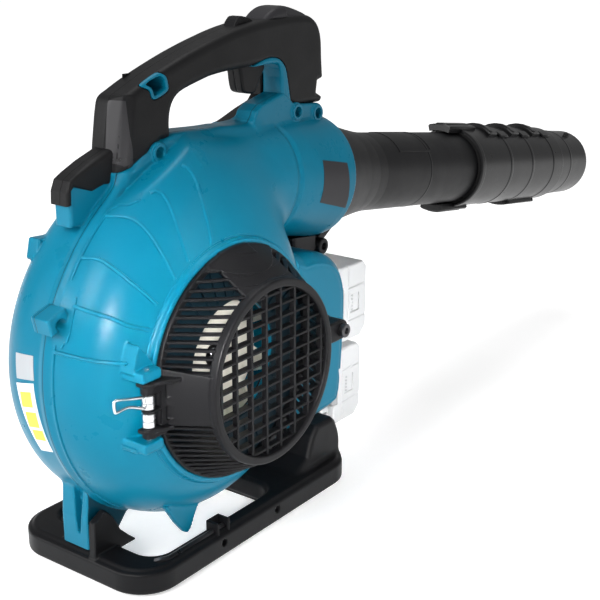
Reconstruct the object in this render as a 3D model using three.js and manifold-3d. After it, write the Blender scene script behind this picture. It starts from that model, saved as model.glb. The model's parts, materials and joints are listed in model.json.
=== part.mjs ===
// Cordless hand-held garden blower and vacuum, standing on its own base ring.
// Millimetres. +X points along the blowing tube, +Y to the motor side, +Z up.
// The design frame has X = 0 at the base's rear edge, Y = 0 on the handle's
// mid-plane and Z = 0 on the ground; the exported group moves it so that the
// origin is below the middle of the whole machine.
import * as THREE from "three";
import { mergeVertices } from "three/addons/utils/BufferGeometryUtils.js";
import Module from "manifold-3d";

const wasm = await Module();
wasm.setup();

// ---- driving dimensions ---------------------------------------------------
const gap = 0.3; // clearance between touching pieces
const wall = 3; // moulded wall thickness
const seamY = -12; // parting plane of the two housing halves

const scroll = {
  x: 110, z: 164, // centre of the fan
  frontR: 108, swell: 33, settle: 70, // front radius, its growth and how many degrees that takes
  throat: 25, // extra radius reached at the top, where the duct begins
  right: -72, left: 56, // flat side faces
  shoulder: 42, // rounding of the shoulders
};
const intake = { eyeR: 49, holeR: 82, baseR: 91.6, faceR: 72, baseY: -72.6, faceY: -114 };
const fan = { r: 80, hubR: 30, right: -56, left: 12, blades: 11 };
const tube = { z: 310.6, tilt: 7.6, r: 38.1, flareR: 50.5, flareEnd: 384, end: 752 };
const duct = { r: 56, end: 306 };
const nozzle = { start: 570, step: 786, end: 869.5, sleeveR: 44, tipR: 39.5 };
const base = { length: 280, halfWidth: 75.8, corner: 33, bottom: 2, top: 20 };
const battery = { depth: 46, height: 74, right: -38, length: 117, rail: 9 };
const upperPack = { x: 304, z: 112 };
const lowerPack = { x: 296, z: 32 };
const hinge = { x: 7, y: -79, bottom: 128, top: 190, lug: 8 };
const lock = { x: 236, z: 157 };
const origin = { x: 419.15, y: -9.75 }; // design-frame point that becomes the origin

const colours = {
  teal: [0x047c9c, 0.42, 0],
  black: [0x1d1d1f, 0.6, 0],
  charcoal: [0x3a3a3f, 0.7, 0],
  rubber: [0x141414, 0.85, 0],
  steel: [0xb9bcc0, 0.3, 1],
  cream: [0xe8e2cf, 0.5, 0],
  board: [0x1f5a38, 0.6, 0],
  pack: [0xb9bbbd, 0.55, 0],
};

// ---- solids ---------------------------------------------------------------
function solid(geometry) {
  const bare = geometry.index ? geometry.toNonIndexed() : geometry.clone();
  bare.deleteAttribute("normal");
  bare.deleteAttribute("uv");
  const merged = mergeVertices(bare, 1e-4);
  return new wasm.Manifold(new wasm.Mesh({
    numProp: 3,
    vertProperties: new Float32Array(merged.attributes.position.array),
    triVerts: new Uint32Array(merged.index.array),
  }));
}

function geometryOf(body) {
  const mesh = body.getMesh();
  const geometry = new THREE.BufferGeometry();
  geometry.setAttribute("position", new THREE.BufferAttribute(mesh.vertProperties, 3));
  geometry.setIndex(new THREE.BufferAttribute(mesh.triVerts, 1));
  const flat = geometry.toNonIndexed();
  flat.computeVertexNormals();
  return flat;
}

const union = (...bodies) => bodies.reduce((whole, body) => whole.add(body));
const cut = (body, ...tools) => tools.reduce((whole, tool) => whole.subtract(tool), body);

function shapeOf(points) {
  return new THREE.Shape(points.map(([a, b]) => new THREE.Vector2(a, b)));
}

// A prism along Y whose outline is drawn in X and Z. With a bevel, the outline
// is the middle of the prism and the two faces are smaller by bevel.
function prismY(points, y0, y1, { bevel = 0, steps = 3 } = {}) {
  const geometry = new THREE.ExtrudeGeometry(shapeOf(points), {
    depth: y1 - y0 - 2 * bevel,
    bevelEnabled: bevel > 0,
    bevelThickness: bevel,
    bevelSize: bevel,
    bevelOffset: -bevel,
    bevelSegments: steps,
  });
  geometry.rotateX(Math.PI / 2);
  geometry.translate(0, y1 - bevel, 0);
  return solid(geometry);
}

function prismZ(points, z0, z1) {
  const geometry = new THREE.ExtrudeGeometry(shapeOf(points), { depth: z1 - z0, bevelEnabled: false });
  geometry.translate(0, 0, z0);
  return solid(geometry);
}

function block(x0, x1, y0, y1, z0, z1) {
  const geometry = new THREE.BoxGeometry(x1 - x0, y1 - y0, z1 - z0);
  geometry.translate((x0 + x1) / 2, (y0 + y1) / 2, (z0 + z1) / 2);
  return solid(geometry);
}

// A turned body about the line through (x, z) along Y. The profile is a list
// of [radius, y] that closes on itself or runs from axis to axis.
function turnedY(x, z, profile, sides = 32) {
  const points = profile.map(([r, y]) => new THREE.Vector2(r, y));
  if (profile[0][0] > 0) points.push(points[0].clone());
  const geometry = new THREE.LatheGeometry(points, sides);
  geometry.translate(x, 0, z);
  return outward(solid(geometry), geometry);
}

// A profile may run either way round, so an inside-out body is turned over.
function outward(body, geometry) {
  if (body.volume() > 0) return body;
  const flipped = geometry.toNonIndexed();
  const p = flipped.attributes.position;
  for (let i = 0; i < p.count; i += 3) {
    const a = new THREE.Vector3().fromBufferAttribute(p, i + 1);
    const b = new THREE.Vector3().fromBufferAttribute(p, i + 2);
    p.setXYZ(i + 1, b.x, b.y, b.z);
    p.setXYZ(i + 2, a.x, a.y, a.z);
  }
  return solid(flipped);
}

const rodY = (x, z, r, y0, y1, sides = 20) =>
  turnedY(x, z, [[0, y0], [r, y0], [r, y1], [0, y1]], sides);
const pipeY = (x, z, r0, r1, y0, y1, sides = 24) =>
  turnedY(x, z, [[r0, y0], [r1, y0], [r1, y1], [r0, y1]], sides);

// A turned body about the tilted axis of the blowing tube; profile [radius, x].
function turnedTube(profile, sides = 32) {
  const points = profile.map(([r, x]) => new THREE.Vector2(r, x));
  if (profile[0][0] > 0) points.push(points[0].clone());
  const geometry = new THREE.LatheGeometry(points, sides);
  toTubeAxis(geometry.rotateZ(-Math.PI / 2));
  return outward(solid(geometry), geometry);
}

function toTubeAxis(geometry) {
  geometry.rotateY(THREE.MathUtils.degToRad(tube.tilt));
  geometry.translate(0, 0, tube.z);
  return geometry;
}

// A block placed in the tube's own frame: x along the axis, z away from it.
function tubeBlock(x0, x1, y0, y1, z0, z1, roll = 0) {
  const geometry = new THREE.BoxGeometry(x1 - x0, y1 - y0, z1 - z0);
  geometry.translate((x0 + x1) / 2, (y0 + y1) / 2, (z0 + z1) / 2);
  geometry.rotateX(roll);
  return solid(toTubeAxis(geometry));
}

// A round rod or wire swept along a curve.
function rod(points, r, steps, sides = 8) {
  const path = new THREE.CatmullRomCurve3(points.map((p) => new THREE.Vector3(...p)));
  return sweep(path, r, steps, sides);
}

function sweep(path, r, steps, sides = 8) {
  const ring = new THREE.Shape();
  for (let i = 0; i < sides; i++) {
    const a = (2 * Math.PI * i) / sides;
    if (i === 0) ring.moveTo(r, 0);
    else ring.lineTo(r * Math.cos(a), r * Math.sin(a));
  }
  ring.closePath();
  return solid(new THREE.ExtrudeGeometry(ring, { extrudePath: path, steps }));
}

function rodZ(x, y, r, z0, z1, sides = 16) {
  const geometry = new THREE.CylinderGeometry(r, r, z1 - z0, sides);
  geometry.rotateX(Math.PI / 2);
  geometry.translate(x, y, (z0 + z1) / 2);
  return solid(geometry);
}

function spring(x, y, z0, z1, r, wire, turns) {
  class Helix extends THREE.Curve {
    getPoint(t, target = new THREE.Vector3()) {
      const a = 2 * Math.PI * turns * t;
      return target.set(x + r * Math.cos(a), y + r * Math.sin(a), z0 + wire + (z1 - z0 - 2 * wire) * t);
    }
  }
  return sweep(new Helix(), wire, turns * 10, 5);
}

// A cut can leave slivers beside the piece itself; only the piece is kept.
function largest(body) {
  return body.decompose().reduce((best, b) => (b.volume() > best.volume() ? b : best));
}

function roundedBox(x0, x1, y0, y1, r, steps = 4) {
  const corners = [[x1 - r, y1 - r, 0], [x0 + r, y1 - r, 90], [x0 + r, y0 + r, 180], [x1 - r, y0 + r, 270]];
  const points = [];
  for (const [cx, cy, from] of corners) {
    for (let i = 0; i <= steps; i++) {
      const a = THREE.MathUtils.degToRad(from + (90 * i) / steps);
      points.push([cx + r * Math.cos(a), cy + r * Math.sin(a)]);
    }
  }
  return points;
}

// ---- assembly helpers -----------------------------------------------------
const machine = new THREE.Group();
machine.name = "blower";
machine.position.set(-origin.x, -origin.y, 0);

function add(name, colour, body) {
  const [color, roughness, metalness] = colours[colour];
  const mesh = new THREE.Mesh(
    geometryOf(body),
    new THREE.MeshStandardMaterial({ color, roughness, metalness }),
  );
  mesh.name = name;
  machine.add(mesh);
}

// ---- scroll housing and duct ----------------------------------------------
// The spiral radius swells quickly below the front and again into the duct;
// turn is in degrees from the front, down and round to the top.
const fullTurn = 270;
const spiralRadius = (turn) => scroll.frontR + scroll.swell * (1 - Math.exp(-turn / scroll.settle))
  + scroll.throat * (turn / fullTurn) ** 10;

function rimPlace(turn, inward) {
  const a = THREE.MathUtils.degToRad(-turn);
  const r = spiralRadius(turn) - inward;
  return [scroll.x + r * Math.cos(a), scroll.z + r * Math.sin(a)];
}

// The rim runs under the fan and up the back, then falls away below the duct.
function spiral(grow, steps = 26) {
  const points = [];
  for (let i = 0; i <= steps; i++) points.push(rimPlace((fullTurn * i) / steps, -grow));
  const fall = [[70, 148], [96, 116], [scroll.frontR - 2, 58]];
  for (const [dx, dz] of fall) {
    const reach = 1 + grow / Math.hypot(dx, dz);
    points.push([scroll.x + dx * reach, scroll.z + dz * reach]);
  }
  return points.reverse();
}

function scrollBody(grow) {
  return prismY(spiral(grow), scroll.right - grow, scroll.left + grow,
    { bevel: scroll.shoulder, steps: 3 });
}

function ductBody(grow) {
  const profile = [
    [0, 60 - grow], [22 + grow, 60 - grow], [33 + grow, 100], [39 + grow, 150], [44 + grow, 200],
    [51 + grow, 250], [duct.r + grow, 296], [duct.r + grow, duct.end + grow], [0, duct.end + grow],
  ];
  return turnedTube(profile);
}

const leg = prismY([[4, 26.3], [31, 26.3], [62, 62], [58, 92], [8, 108], [6, 84], [4, 50]], -11, 16);
const legFoot = block(-10, 60, -40, 40, 0, 26.3);
const collar = rodY(scroll.x, scroll.z, intake.baseR + 2, scroll.right, -40, 40);
// Plinths carry the handle's two feet and the rear bumper.
const handleFoot = { right: -17, left: 17 };
const rearPlinth = prismY([[10, 285], [10, 308.6], [12.4, 311.8], [32, 306.5], [44, 313.5], [50, 316.5],
  [50, 312.5], [64, 313.6], [85, 323.6], [97, 330.6], [106, 330.6], [124, 322], [140, 290],
  [60, 280]].reverse(), handleFoot.right, handleFoot.left);
const frontPlinth = prismY([[214, 300], [220, 317.6], [256, 332.6], [262, 337.6], [306, 337.6],
  [303, 310], [300, 295]].reverse(), handleFoot.right, handleFoot.left);
const outer = union(scrollBody(0), ductBody(0), collar, leg, rearPlinth, frontPlinth);
const inner = cut(union(scrollBody(-wall), ductBody(-wall)), collar);
const outlet = turnedTube([[0, duct.end - 12], [duct.r - wall, duct.end - 12],
  [duct.r - wall, duct.end + 8], [0, duct.end + 8]]);
const inletHole = union(rodY(scroll.x, scroll.z, intake.eyeR, scroll.right - 5, -39, 40),
  rodY(scroll.x, scroll.z, intake.holeR, scroll.right + wall, -39, 40));
const motorHole = rodY(scroll.x, scroll.z, 44, scroll.left - 12, scroll.left + 5, 40);
const shell = cut(outer, inner, outlet, inletHole, motorHole, legFoot);

const rightHalf = block(-80, 380, -140, seamY - gap / 2, 0, 420);
const leftHalf = block(-80, 380, seamY + gap / 2, 140, 0, 420);

// Screw bosses stand on the rim of the right half and under the handle's feet.
const boss = { bore: 2.6, r: 7.5, right: -24 };
const bossPlaces = [rimPlace(52, 2), rimPlace(98, 2), rimPlace(203, -1), [95, 321], [268, 331]];
const bosses = bossPlaces.map(([x, z]) => cut(rodY(x, z, boss.r, boss.right, seamY - gap / 2, 16), inner));
const boreRoom = (right, left) => bossPlaces.map(([x, z]) => rodY(x, z, boss.bore, right, left, 16));
const lugTop = block(hinge.x - 9, hinge.x + 10, -84, -60, hinge.top - hinge.lug, hinge.top);
const lugBottom = block(hinge.x - 9, hinge.x + 10, -84, -60, hinge.bottom, hinge.bottom + hinge.lug);
const pinRoom = rodZ(hinge.x, hinge.y, 2.2, hinge.bottom - 8, hinge.top + 8);
const lugs = cut(union(lugTop, lugBottom), inner, pinRoom);
const switchAt = { x: 154, z: 240 };
const switchRoom = block(switchAt.x - 4.3, switchAt.x + 4.3, -74, -57.7, switchAt.z - 4.3, switchAt.z + 4.3);
add("housing_right", "teal", largest(cut(union(shell.intersect(rightHalf), lugs, ...bosses),
  ...boreRoom(boss.right, seamY), switchRoom)));
add("housing_left", "teal", cut(shell.intersect(leftHalf), ...boreRoom(seamY, seamY + 14)));

const screw = ([x, z]) => turnedY(x, z,
  [[0, -23.6], [2.5, -23.6], [2.5, -20], [2.2, -20], [2.2, seamY + 12], [0, seamY + 12]], 10);
bossPlaces.forEach((place, i) => add(`housing_screw_${i + 1}`, "steel", screw(place)));

// ---- handle ---------------------------------------------------------------
// The outline starts at the foot of the rear post and ends along the housing.
const handleOutline = [
  [50.5, 313], [52.5, 330], [55, 345], [58, 360], [62, 368], [84, 377.5], [100, 383.5],
  [124, 391.5], [160, 401.5], [189, 408], [220, 412], [278, 413.4], [293, 410], [301, 404],
  [305.5, 392], [307, 370], [308, 338], [262, 338], [256, 333], [220, 318], [140, 318],
  [107, 331], [97, 331], [85, 324], [64, 314],
];
const handleWindow = [
  [109, 315], [108.6, 345], [112, 357], [122, 364.5], [146, 371], [182, 375.5], [205, 376.5],
  [236, 377.5], [242.5, 374], [244.5, 366], [245, 345], [190, 317],
];
const post = { front: 258, top: 372, tongueFront: 252, tongueTop: 383 }; // teal front post

const handleWhole = cut(
  prismY([...handleOutline].reverse(), handleFoot.right, handleFoot.left, { bevel: 5, steps: 2 }),
  prismY([...handleWindow].reverse(), -30, 30),
);
const handleRoom = prismY([
  [262, 352], [262, 386], [240, 392], [192, 386], [150, 380], [120, 372], [118, 378],
  [150, 391], [190, 399], [240, 402], [285, 402], [296, 392], [300, 372], [299, 352],
], -11, 11);
const triggerSlot = block(198, 246, -8.5, 8.5, 360, 396);
const leverSlot = block(188, 231, -7, 7, 394, 420);
const eyelet = prismY([[84, 366.5], [91, 364.5], [103, 368], [104, 374], [98, 378], [89, 375]], -30, 30);
const clearDuct = union(scrollBody(gap), ductBody(gap));
const bossClear = union(...bossPlaces.map(([x, z]) =>
  rodY(x, z, boss.r + gap, boss.right - gap, seamY + 2, 16)));
const triggerPivot = { x: 206, z: 383 };
const leverPivot = { x: 219, z: 404 };
const pinHoles = [triggerPivot, leverPivot].map(({ x, z }) => rodY(x, z, 1.8, -11, 11, 12));
const handleShell = cut(
  handleWhole, handleRoom, triggerSlot, leverSlot, eyelet, clearDuct, bossClear, ...pinHoles);

const postZone = (grow) => union(
  block(205, post.front + grow, -40, 40, 300, post.top + grow),
  block(244 - grow, post.tongueFront + grow, -40, 40, 360, post.tongueTop + grow));
const grips = cut(handleShell, postZone(gap));
const near = block(-80, 380, -40, -gap / 2, 0, 460);
const far = block(-80, 380, gap / 2, 40, 0, 460);
add("handle_grip_right", "black", largest(grips.intersect(near)));
add("handle_grip_left", "black", largest(grips.intersect(far)));
add("handle_front_post", "teal", largest(handleShell.intersect(postZone(0))));

const trigger = cut(
  prismY([[202, 387], [202, 368], [206, 354], [213, 351], [222, 355], [232, 366], [236, 372],
    [224, 374.5], [214, 387]].reverse(), -7.5, 7.5),
  rodY(triggerPivot.x, triggerPivot.z, 1.8, -9, 9, 12));
add("trigger", "black", trigger);
add("trigger_pin", "steel", rodY(triggerPivot.x, triggerPivot.z, 1.5, -10.6, 10.6, 12));
add("switch_unit", "charcoal", block(243, 257, -8, 8, 391.5, 400.5));
add("trigger_spring", "steel", spring(229, 0, 380, 391, 3.4, 0.6, 4));

const cruiseLever = cut(
  prismY([[191, 408], [196, 415], [206, 417.5], [219, 414], [223, 406], [219, 400], [212, 402],
    [206, 405]].reverse(), -6, 6),
  rodY(leverPivot.x, leverPivot.z, 1.8, -9, 9, 12));
add("cruise_lever", "black", cruiseLever);
add("cruise_lever_pin", "steel", rodY(leverPivot.x, leverPivot.z, 1.5, -10.6, 10.6, 12));
const domeBody = prismY([[226, 413.4], [232, 419], [244, 422.6], [258, 422.4], [271, 419],
  [280, 413.4]].reverse(), -13, 13, { bevel: 3, steps: 2 });
add("handle_dome", "charcoal", domeBody.intersect(block(200, 300, -20, 20, 413.4, 430)));
const bumper = prismY([[3.5, 297], [4, 309], [8, 316.5], [20, 321.5], [46, 331], [49.5, 332], [49.5, 317],
  [44, 314], [32, 307], [12, 312.3], [9.6, 309], [9.6, 297]].reverse(), -13.5, 15, { bevel: 1.5, steps: 1 });
add("rear_bumper", "black", largest(cut(bumper, clearDuct, handleWhole)));

// ---- motor, fan and left cover ---------------------------------------------
const motor = { r: 34, bore: 9.3, right: 16, left: 86 };
const cover = { r: 62, waistR: 59, faceR: 46, waist: 76, left: 94.5 };
add("motor_cover", "teal", turnedY(scroll.x, scroll.z, [
  [cover.r, scroll.left + gap], [cover.waistR, cover.waist], [cover.faceR, cover.left], [0, cover.left],
  [0, cover.left - wall], [cover.faceR - 1.6, cover.left - wall],
  [cover.waistR - wall, cover.waist - 1], [cover.r - wall, scroll.left + gap],
], 40));
add("motor_can", "charcoal", pipeY(scroll.x, scroll.z, motor.bore, motor.r, motor.right, motor.left, 32));
add("motor_mount", "black", cut(
  pipeY(scroll.x, scroll.z, motor.r + gap, cover.waistR - wall - 1, scroll.left + 2, scroll.left + 11, 32),
  block(scroll.x - 4, scroll.x + 4, 50, 90, scroll.z + 48, scroll.z + 60)));
add("bearing_front", "steel", pipeY(scroll.x, scroll.z, 4.06, 9, 18, 25, 24));
add("bearing_rear", "steel", pipeY(scroll.x, scroll.z, 4.06, 9, 76, 83, 24));
add("motor_shaft", "steel", rodY(scroll.x, scroll.z, 4, -48, 85, 24));

function fanBlade(index) {
  const geometry = new THREE.BoxGeometry(58, fan.left - fan.right - 6, 2.4);
  geometry.translate(fan.hubR + 22, (fan.left + fan.right) / 2 - 1, 0);
  geometry.rotateX(0.32);
  geometry.rotateY((2 * Math.PI * index) / fan.blades);
  geometry.translate(scroll.x, 0, scroll.z);
  return solid(geometry);
}
const fanHub = turnedY(scroll.x, scroll.z, [
  [4.06, fan.left], [fan.r, fan.left], [fan.r, fan.left - 3], [fan.hubR + 8, fan.left - 6],
  [fan.hubR, fan.left - 20], [fan.hubR - 8, -44], [12, -47], [4.06, -47],
], 24);
const fanBlades = Array.from({ length: fan.blades }, (_, i) => fanBlade(i));
const fanEnvelope = rodY(scroll.x, scroll.z, fan.r, fan.right, fan.left);
add("fan", "cream", cut(union(fanHub, ...fanBlades.map((b) => b.intersect(fanEnvelope))),
  rodY(scroll.x, scroll.z, 10, fan.right - 1, -46.9, 24), rodY(scroll.x, scroll.z, 4.06, -60, 20, 24)));
add("fan_nut", "steel", cut(rodY(scroll.x, scroll.z, 8, -53, -47.4, 6),
  rodY(scroll.x, scroll.z, 4.06, -60, -40, 24)));

// ---- intake cover ----------------------------------------------------------
const cone = turnedY(scroll.x, scroll.z, [
  [intake.baseR, intake.baseY], [intake.baseR, intake.baseY - 5], [intake.faceR + 2, intake.faceY + 2],
  [intake.faceR, intake.faceY], [intake.faceR - 6, intake.faceY], [intake.faceR - 5, intake.faceY + 4],
  [intake.baseR - 6, intake.baseY - 5], [intake.baseR - 6, intake.baseY],
], 36);
const slots = [];
for (let z = scroll.z - 78; z < scroll.z + 44; z += 9.5) {
  slots.push(block(scroll.x - 120, scroll.x + 120, intake.faceY + 5.5, intake.baseY - 7, z, z + 6));
}
const hingeZone = block(scroll.x - 110, scroll.x - 50, -130, -60, 124, 182);
const slotted = cut(cone, ...slots.map((s) => cut(s, hingeZone)));

const faceDisc = rodY(scroll.x, scroll.z, intake.faceR - 5, intake.faceY, intake.faceY + 4, 36);
const bars = [];
for (let i = -3.5; i <= 3.5; i += 1) {
  const x = scroll.x + i * 17.5;
  bars.push(block(x - 1.6, x + 1.6, intake.faceY + 0.3, intake.faceY + 1.9, scroll.z - 80, scroll.z + 80));
}
for (let i = -6; i <= 6; i += 1) {
  const geometry = new THREE.BoxGeometry(160, 1.6, 2.4);
  geometry.rotateY(THREE.MathUtils.degToRad(6));
  geometry.translate(scroll.x, intake.faceY + 3, scroll.z + i * 10.6);
  bars.push(solid(geometry));
}
const grid = union(...bars).intersect(faceDisc);
const coverPlate = prismY([[scroll.x - 30, scroll.z + 40], [scroll.x + 44, scroll.z + 52],
  [scroll.x + 30, scroll.z + 80], [scroll.x - 30, scroll.z + 80]], intake.faceY, intake.faceY + 3);
const hingeArm = cut(
  block(hinge.x - 4, scroll.x - 70, hinge.y - 5, hinge.y + 5, 139, 179),
  block(hinge.x - 7, hinge.x + 8, -100, -60, 146, 172),
  rodZ(hinge.x, hinge.y, 2.2, 120, 200),
  rodY(scroll.x, scroll.z, intake.baseR - 3, -100, -60, 44),
);
const lockLug = cut(block(scroll.x + 84, lock.x + 9, -88, intake.baseY, lock.z - 9, lock.z + 9),
  rodY(lock.x, lock.z, 3.4, -95, -60, 16),
  rodY(scroll.x, scroll.z, intake.baseR - 6, -100, -60, 44));
add("intake_cover", "black", union(slotted, grid,
  coverPlate.intersect(faceDisc), hingeArm, lockLug));
add("hinge_pin", "steel", rodZ(hinge.x, hinge.y, 2, 127, 191, 16));
const roller = (z0, z1) => cut(
  rodZ(hinge.x, hinge.y, 5, z0, z1, 20), rodZ(hinge.x, hinge.y, 2.2, z0 - 1, z1 + 1, 16));
add("hinge_roller_upper", "steel", roller(160.5, 171.5));
add("hinge_roller_lower", "steel", roller(146.5, 157.5));
add("cover_spring", "steel", rod([[hinge.x - 8, -82, 174], [hinge.x - 14, -78, 172], [hinge.x - 17, -74, 166],
  [hinge.x - 14, -76, 160], [hinge.x - 8, -82, 158]], 1, 16, 6));
add("cover_lock_boss", "black", pipeY(lock.x, lock.z, 3.6, 10, -72.3, -51, 20));
add("cover_lock_bolt", "steel", cut(union(rodY(lock.x, lock.z, 3, -89, -67.5, 16),
  rodY(lock.x, lock.z, 6, -93, -88.3, 16)), rodY(lock.x, lock.z, 2.6, -94, -90.5, 6)));
const { x: sx, z: sz } = switchAt;
add("interlock_switch", "charcoal", block(sx - 4, sx + 4, -65, -58, sz - 4, sz + 4));
add("interlock_plunger", "charcoal", block(sx - 2, sx + 2, -72.3, -68.5, sz - 2, sz + 2));

// ---- battery box and packs --------------------------------------------------
const boxOutline = [[222, 66], [250, 60], [283, 62], [292, 74], [296, 104], [299, 132], [300, 172],
  [290, 194], [266, 213], [240, 216], [222, 210]];
const boxOuter = prismY([...boxOutline].reverse(), -50, 82, { bevel: 9, steps: 3 });
const boxInner = prismY([[226, 70], [250, 64], [270, 66], [277, 78], [279, 104], [282, 132], [282, 172],
  [274, 190], [258, 206], [226, 206]].reverse(), -45, 77);
const railPocket = (pack) => block(pack.x - battery.rail - 1, pack.x + 10,
  -60, battery.right + battery.length, pack.z + 9, pack.z + battery.height - 9);
const packRoom = (pack) => block(pack.x - 0.6, pack.x + 60, -60, 90, pack.z - 2, pack.z + battery.height + 2);
const boxShell = cut(boxOuter, boxInner, clearDuct, railPocket(upperPack), railPocket(lowerPack),
  packRoom(upperPack), packRoom(lowerPack), rodY(lock.x, lock.z, 10.3, -72.3, -45, 20),
  block(235, 262, 20, 60, 50, 70));
add("battery_box", "teal", largest(boxShell));

function packBody(pack) {
  const body = prismY([[pack.x + gap, pack.z], [pack.x + battery.depth - 8, pack.z],
    [pack.x + battery.depth, pack.z + 8], [pack.x + battery.depth, pack.z + battery.height - 8],
    [pack.x + battery.depth - 8, pack.z + battery.height], [pack.x + gap, pack.z + battery.height]].reverse(),
  battery.right, battery.right + battery.length, { bevel: 2, steps: 1 });
  const rails = block(pack.x - battery.rail, pack.x + 4, battery.right + 6, battery.right + 92,
    pack.z + 10, pack.z + battery.height - 10);
  const buttonRoom = block(pack.x + 5, pack.x + 17, battery.right - 1, battery.right + 7,
    pack.z + 20, pack.z + battery.height - 20);
  return cut(union(body, rails), buttonRoom);
}
const button = (pack) => block(pack.x + 5.5, pack.x + 16.5, battery.right - 0.6, battery.right + 3.4,
  pack.z + 20.5, pack.z + battery.height - 20.5);
const terminal = (pack) => block(pack.x - battery.rail, pack.x - gap, battery.right + 93,
  battery.right + battery.length - 1, pack.z + 12, pack.z + battery.height - 12);
for (const [name, pack] of [["upper", upperPack], ["lower", lowerPack]]) {
  add(`battery_${name}`, "pack", packBody(pack));
  add(`battery_button_${name}`, "charcoal", button(pack));
  add(`terminal_block_${name}`, "black", terminal(pack));
}
add("control_board", "board", block(232, 236, -38, 66, 84, 190));

// ---- blowing tube and nozzle --------------------------------------------------
// The tube's rear end sits inside the duct and flares down to the sleeve's track.
const spigot = { r: duct.r - wall - 0.4, start: duct.end - 9 };
const tubeOutside = (grow) => [[spigot.r + grow, spigot.start - grow], [spigot.r + grow, duct.end - 3],
  [tube.flareR + grow, duct.end], [tube.r + grow, tube.flareEnd], [tube.r + grow, tube.end]];
const tubeInside = [[tube.r - 2.5, tube.end], [tube.r - 2.5, tube.flareEnd], [tube.flareR - 2.5, duct.end],
  [tube.flareR - 2.5, spigot.start]];
add("main_tube", "black", turnedTube([...tubeOutside(0), ...tubeInside], 32));
const tubeClear = turnedTube([[0, spigot.start - gap], ...tubeOutside(gap), [0, tube.end]], 32);
const strut = prismY([[286, 196], [308, 198], [316, 205], [345, 219], [341, 232],
  [286, 232]].reverse(), -9, 9);
const bracketPad = block(258, 300, -12, 12, 196, 226);
add("tube_bracket", "black",
  largest(cut(union(strut, bracketPad), ductBody(gap), tubeClear, boxOuter, packRoom(upperPack))));
// The sleeve slides on the tube, guided by a seal ring in its rear counterbore.
const sleeveBore = 38.7;
const ringRoom = { r: 41.6, end: nozzle.start + 22 };
const nozzleBore = turnedTube([
  [0, nozzle.start - 40], [ringRoom.r, nozzle.start - 40], [ringRoom.r, ringRoom.end],
  [sleeveBore, ringRoom.end], [sleeveBore, nozzle.step - 4], [36.4, nozzle.step],
  [36.4, nozzle.end + 5], [0, nozzle.end + 5]]);
const nozzleOuter = turnedTube([
  [0, nozzle.start], [nozzle.sleeveR, nozzle.start], [nozzle.sleeveR, nozzle.step],
  [nozzle.tipR, nozzle.step + 6], [nozzle.tipR, nozzle.end - 3], [nozzle.tipR - 2.5, nozzle.end],
  [0, nozzle.end]]);
const tabTop = tubeBlock(nozzle.start - 26, nozzle.start + 30, -13, 13, 40, 47.5);
const tabBottom = tubeBlock(nozzle.start - 26, nozzle.start + 30, -13, 13, 40, 47.5, Math.PI);
const hooks = [0, 1, 2].map((i) => tubeBlock(622 + 56 * i, 640 + 56 * i, -16, 14, 40, 47));
const lowerRib = tubeBlock(700, 770, -13, 13, 40, 48.5, Math.PI);
const bayonet = tubeBlock(836, 842, -4, 4, 38, 44.5, 0.5);
add("front_nozzle", "black",
  cut(union(nozzleOuter, tabTop, tabBottom, ...hooks, lowerRib, bayonet), nozzleBore));
add("nozzle_seal_ring", "rubber", turnedTube([
  [tube.r + gap, nozzle.start + 1], [ringRoom.r - gap, nozzle.start + 1],
  [ringRoom.r - gap, ringRoom.end - 0.5], [tube.r + gap, ringRoom.end - 0.5]]));

// ---- base ---------------------------------------------------------------------
const ringOutline = roundedBox(0, base.length, -base.halfWidth, base.halfWidth, base.corner, 5);
const ringHole = roundedBox(29, 177, -57, 57, 16, 3);
const ring = cut(prismZ(ringOutline, base.bottom, base.top), prismZ(ringHole, 0, base.top + 1));
const plan = prismZ(ringOutline, 0, 120);
const riser = prismY([[180, 8], [276, 8], [280, 22], [266, 56], [262, 59.5], [236, 59.5], [226, 34],
  [204, 21], [180, 19]].reverse(), -62, 62);
const socket = cut(block(1, 34, -14, 19, 18, 34), block(-1, 60, -11.4, 16.4, 26, 40));
const clipHole = (x) => rodY(x, 13.5, 3, -80, -66, 12);
const baseWhole = cut(union(ring, riser, socket), clipHole(91), clipHole(161));
const underside = block(40, 240, -70, 70, -5, base.bottom);
const shallow = prismZ(roundedBox(192, 268, -50, 50, 12, 3), 0, 14);
add("base_stand", "black", cut(baseWhole.intersect(plan), underside, shallow, outer, boxOuter));
const feetPlaces = [[17, -50], [17, 50], [252, -56], [252, 56]];
feetPlaces.forEach(([x, y], i) => {
  add(`base_foot_${i + 1}`, "rubber", rodZ(x, y, 9, 0, base.bottom - gap, 20));
});
add("hex_wrench", "charcoal", rod([[28, -61, 23], [31, -65, 23], [38, -67, 23], [60, -67, 23],
  [88, -67, 23], [106, -67, 23]], 2.4, 22, 6));

export default machine;
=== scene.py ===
# Cordless hand-held garden blower on its stand base: the looks built round the CAD frame.
# Shapes are drawn in design millimetres: X from the base's rear edge towards the nozzle,
# Y from the handle's mid-plane towards the motor side, Z up from the ground.
import json
from itertools import product
from math import cos, hypot, pi, radians, sin

import bpy
import numpy as np
from mathutils import Matrix, Vector


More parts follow.
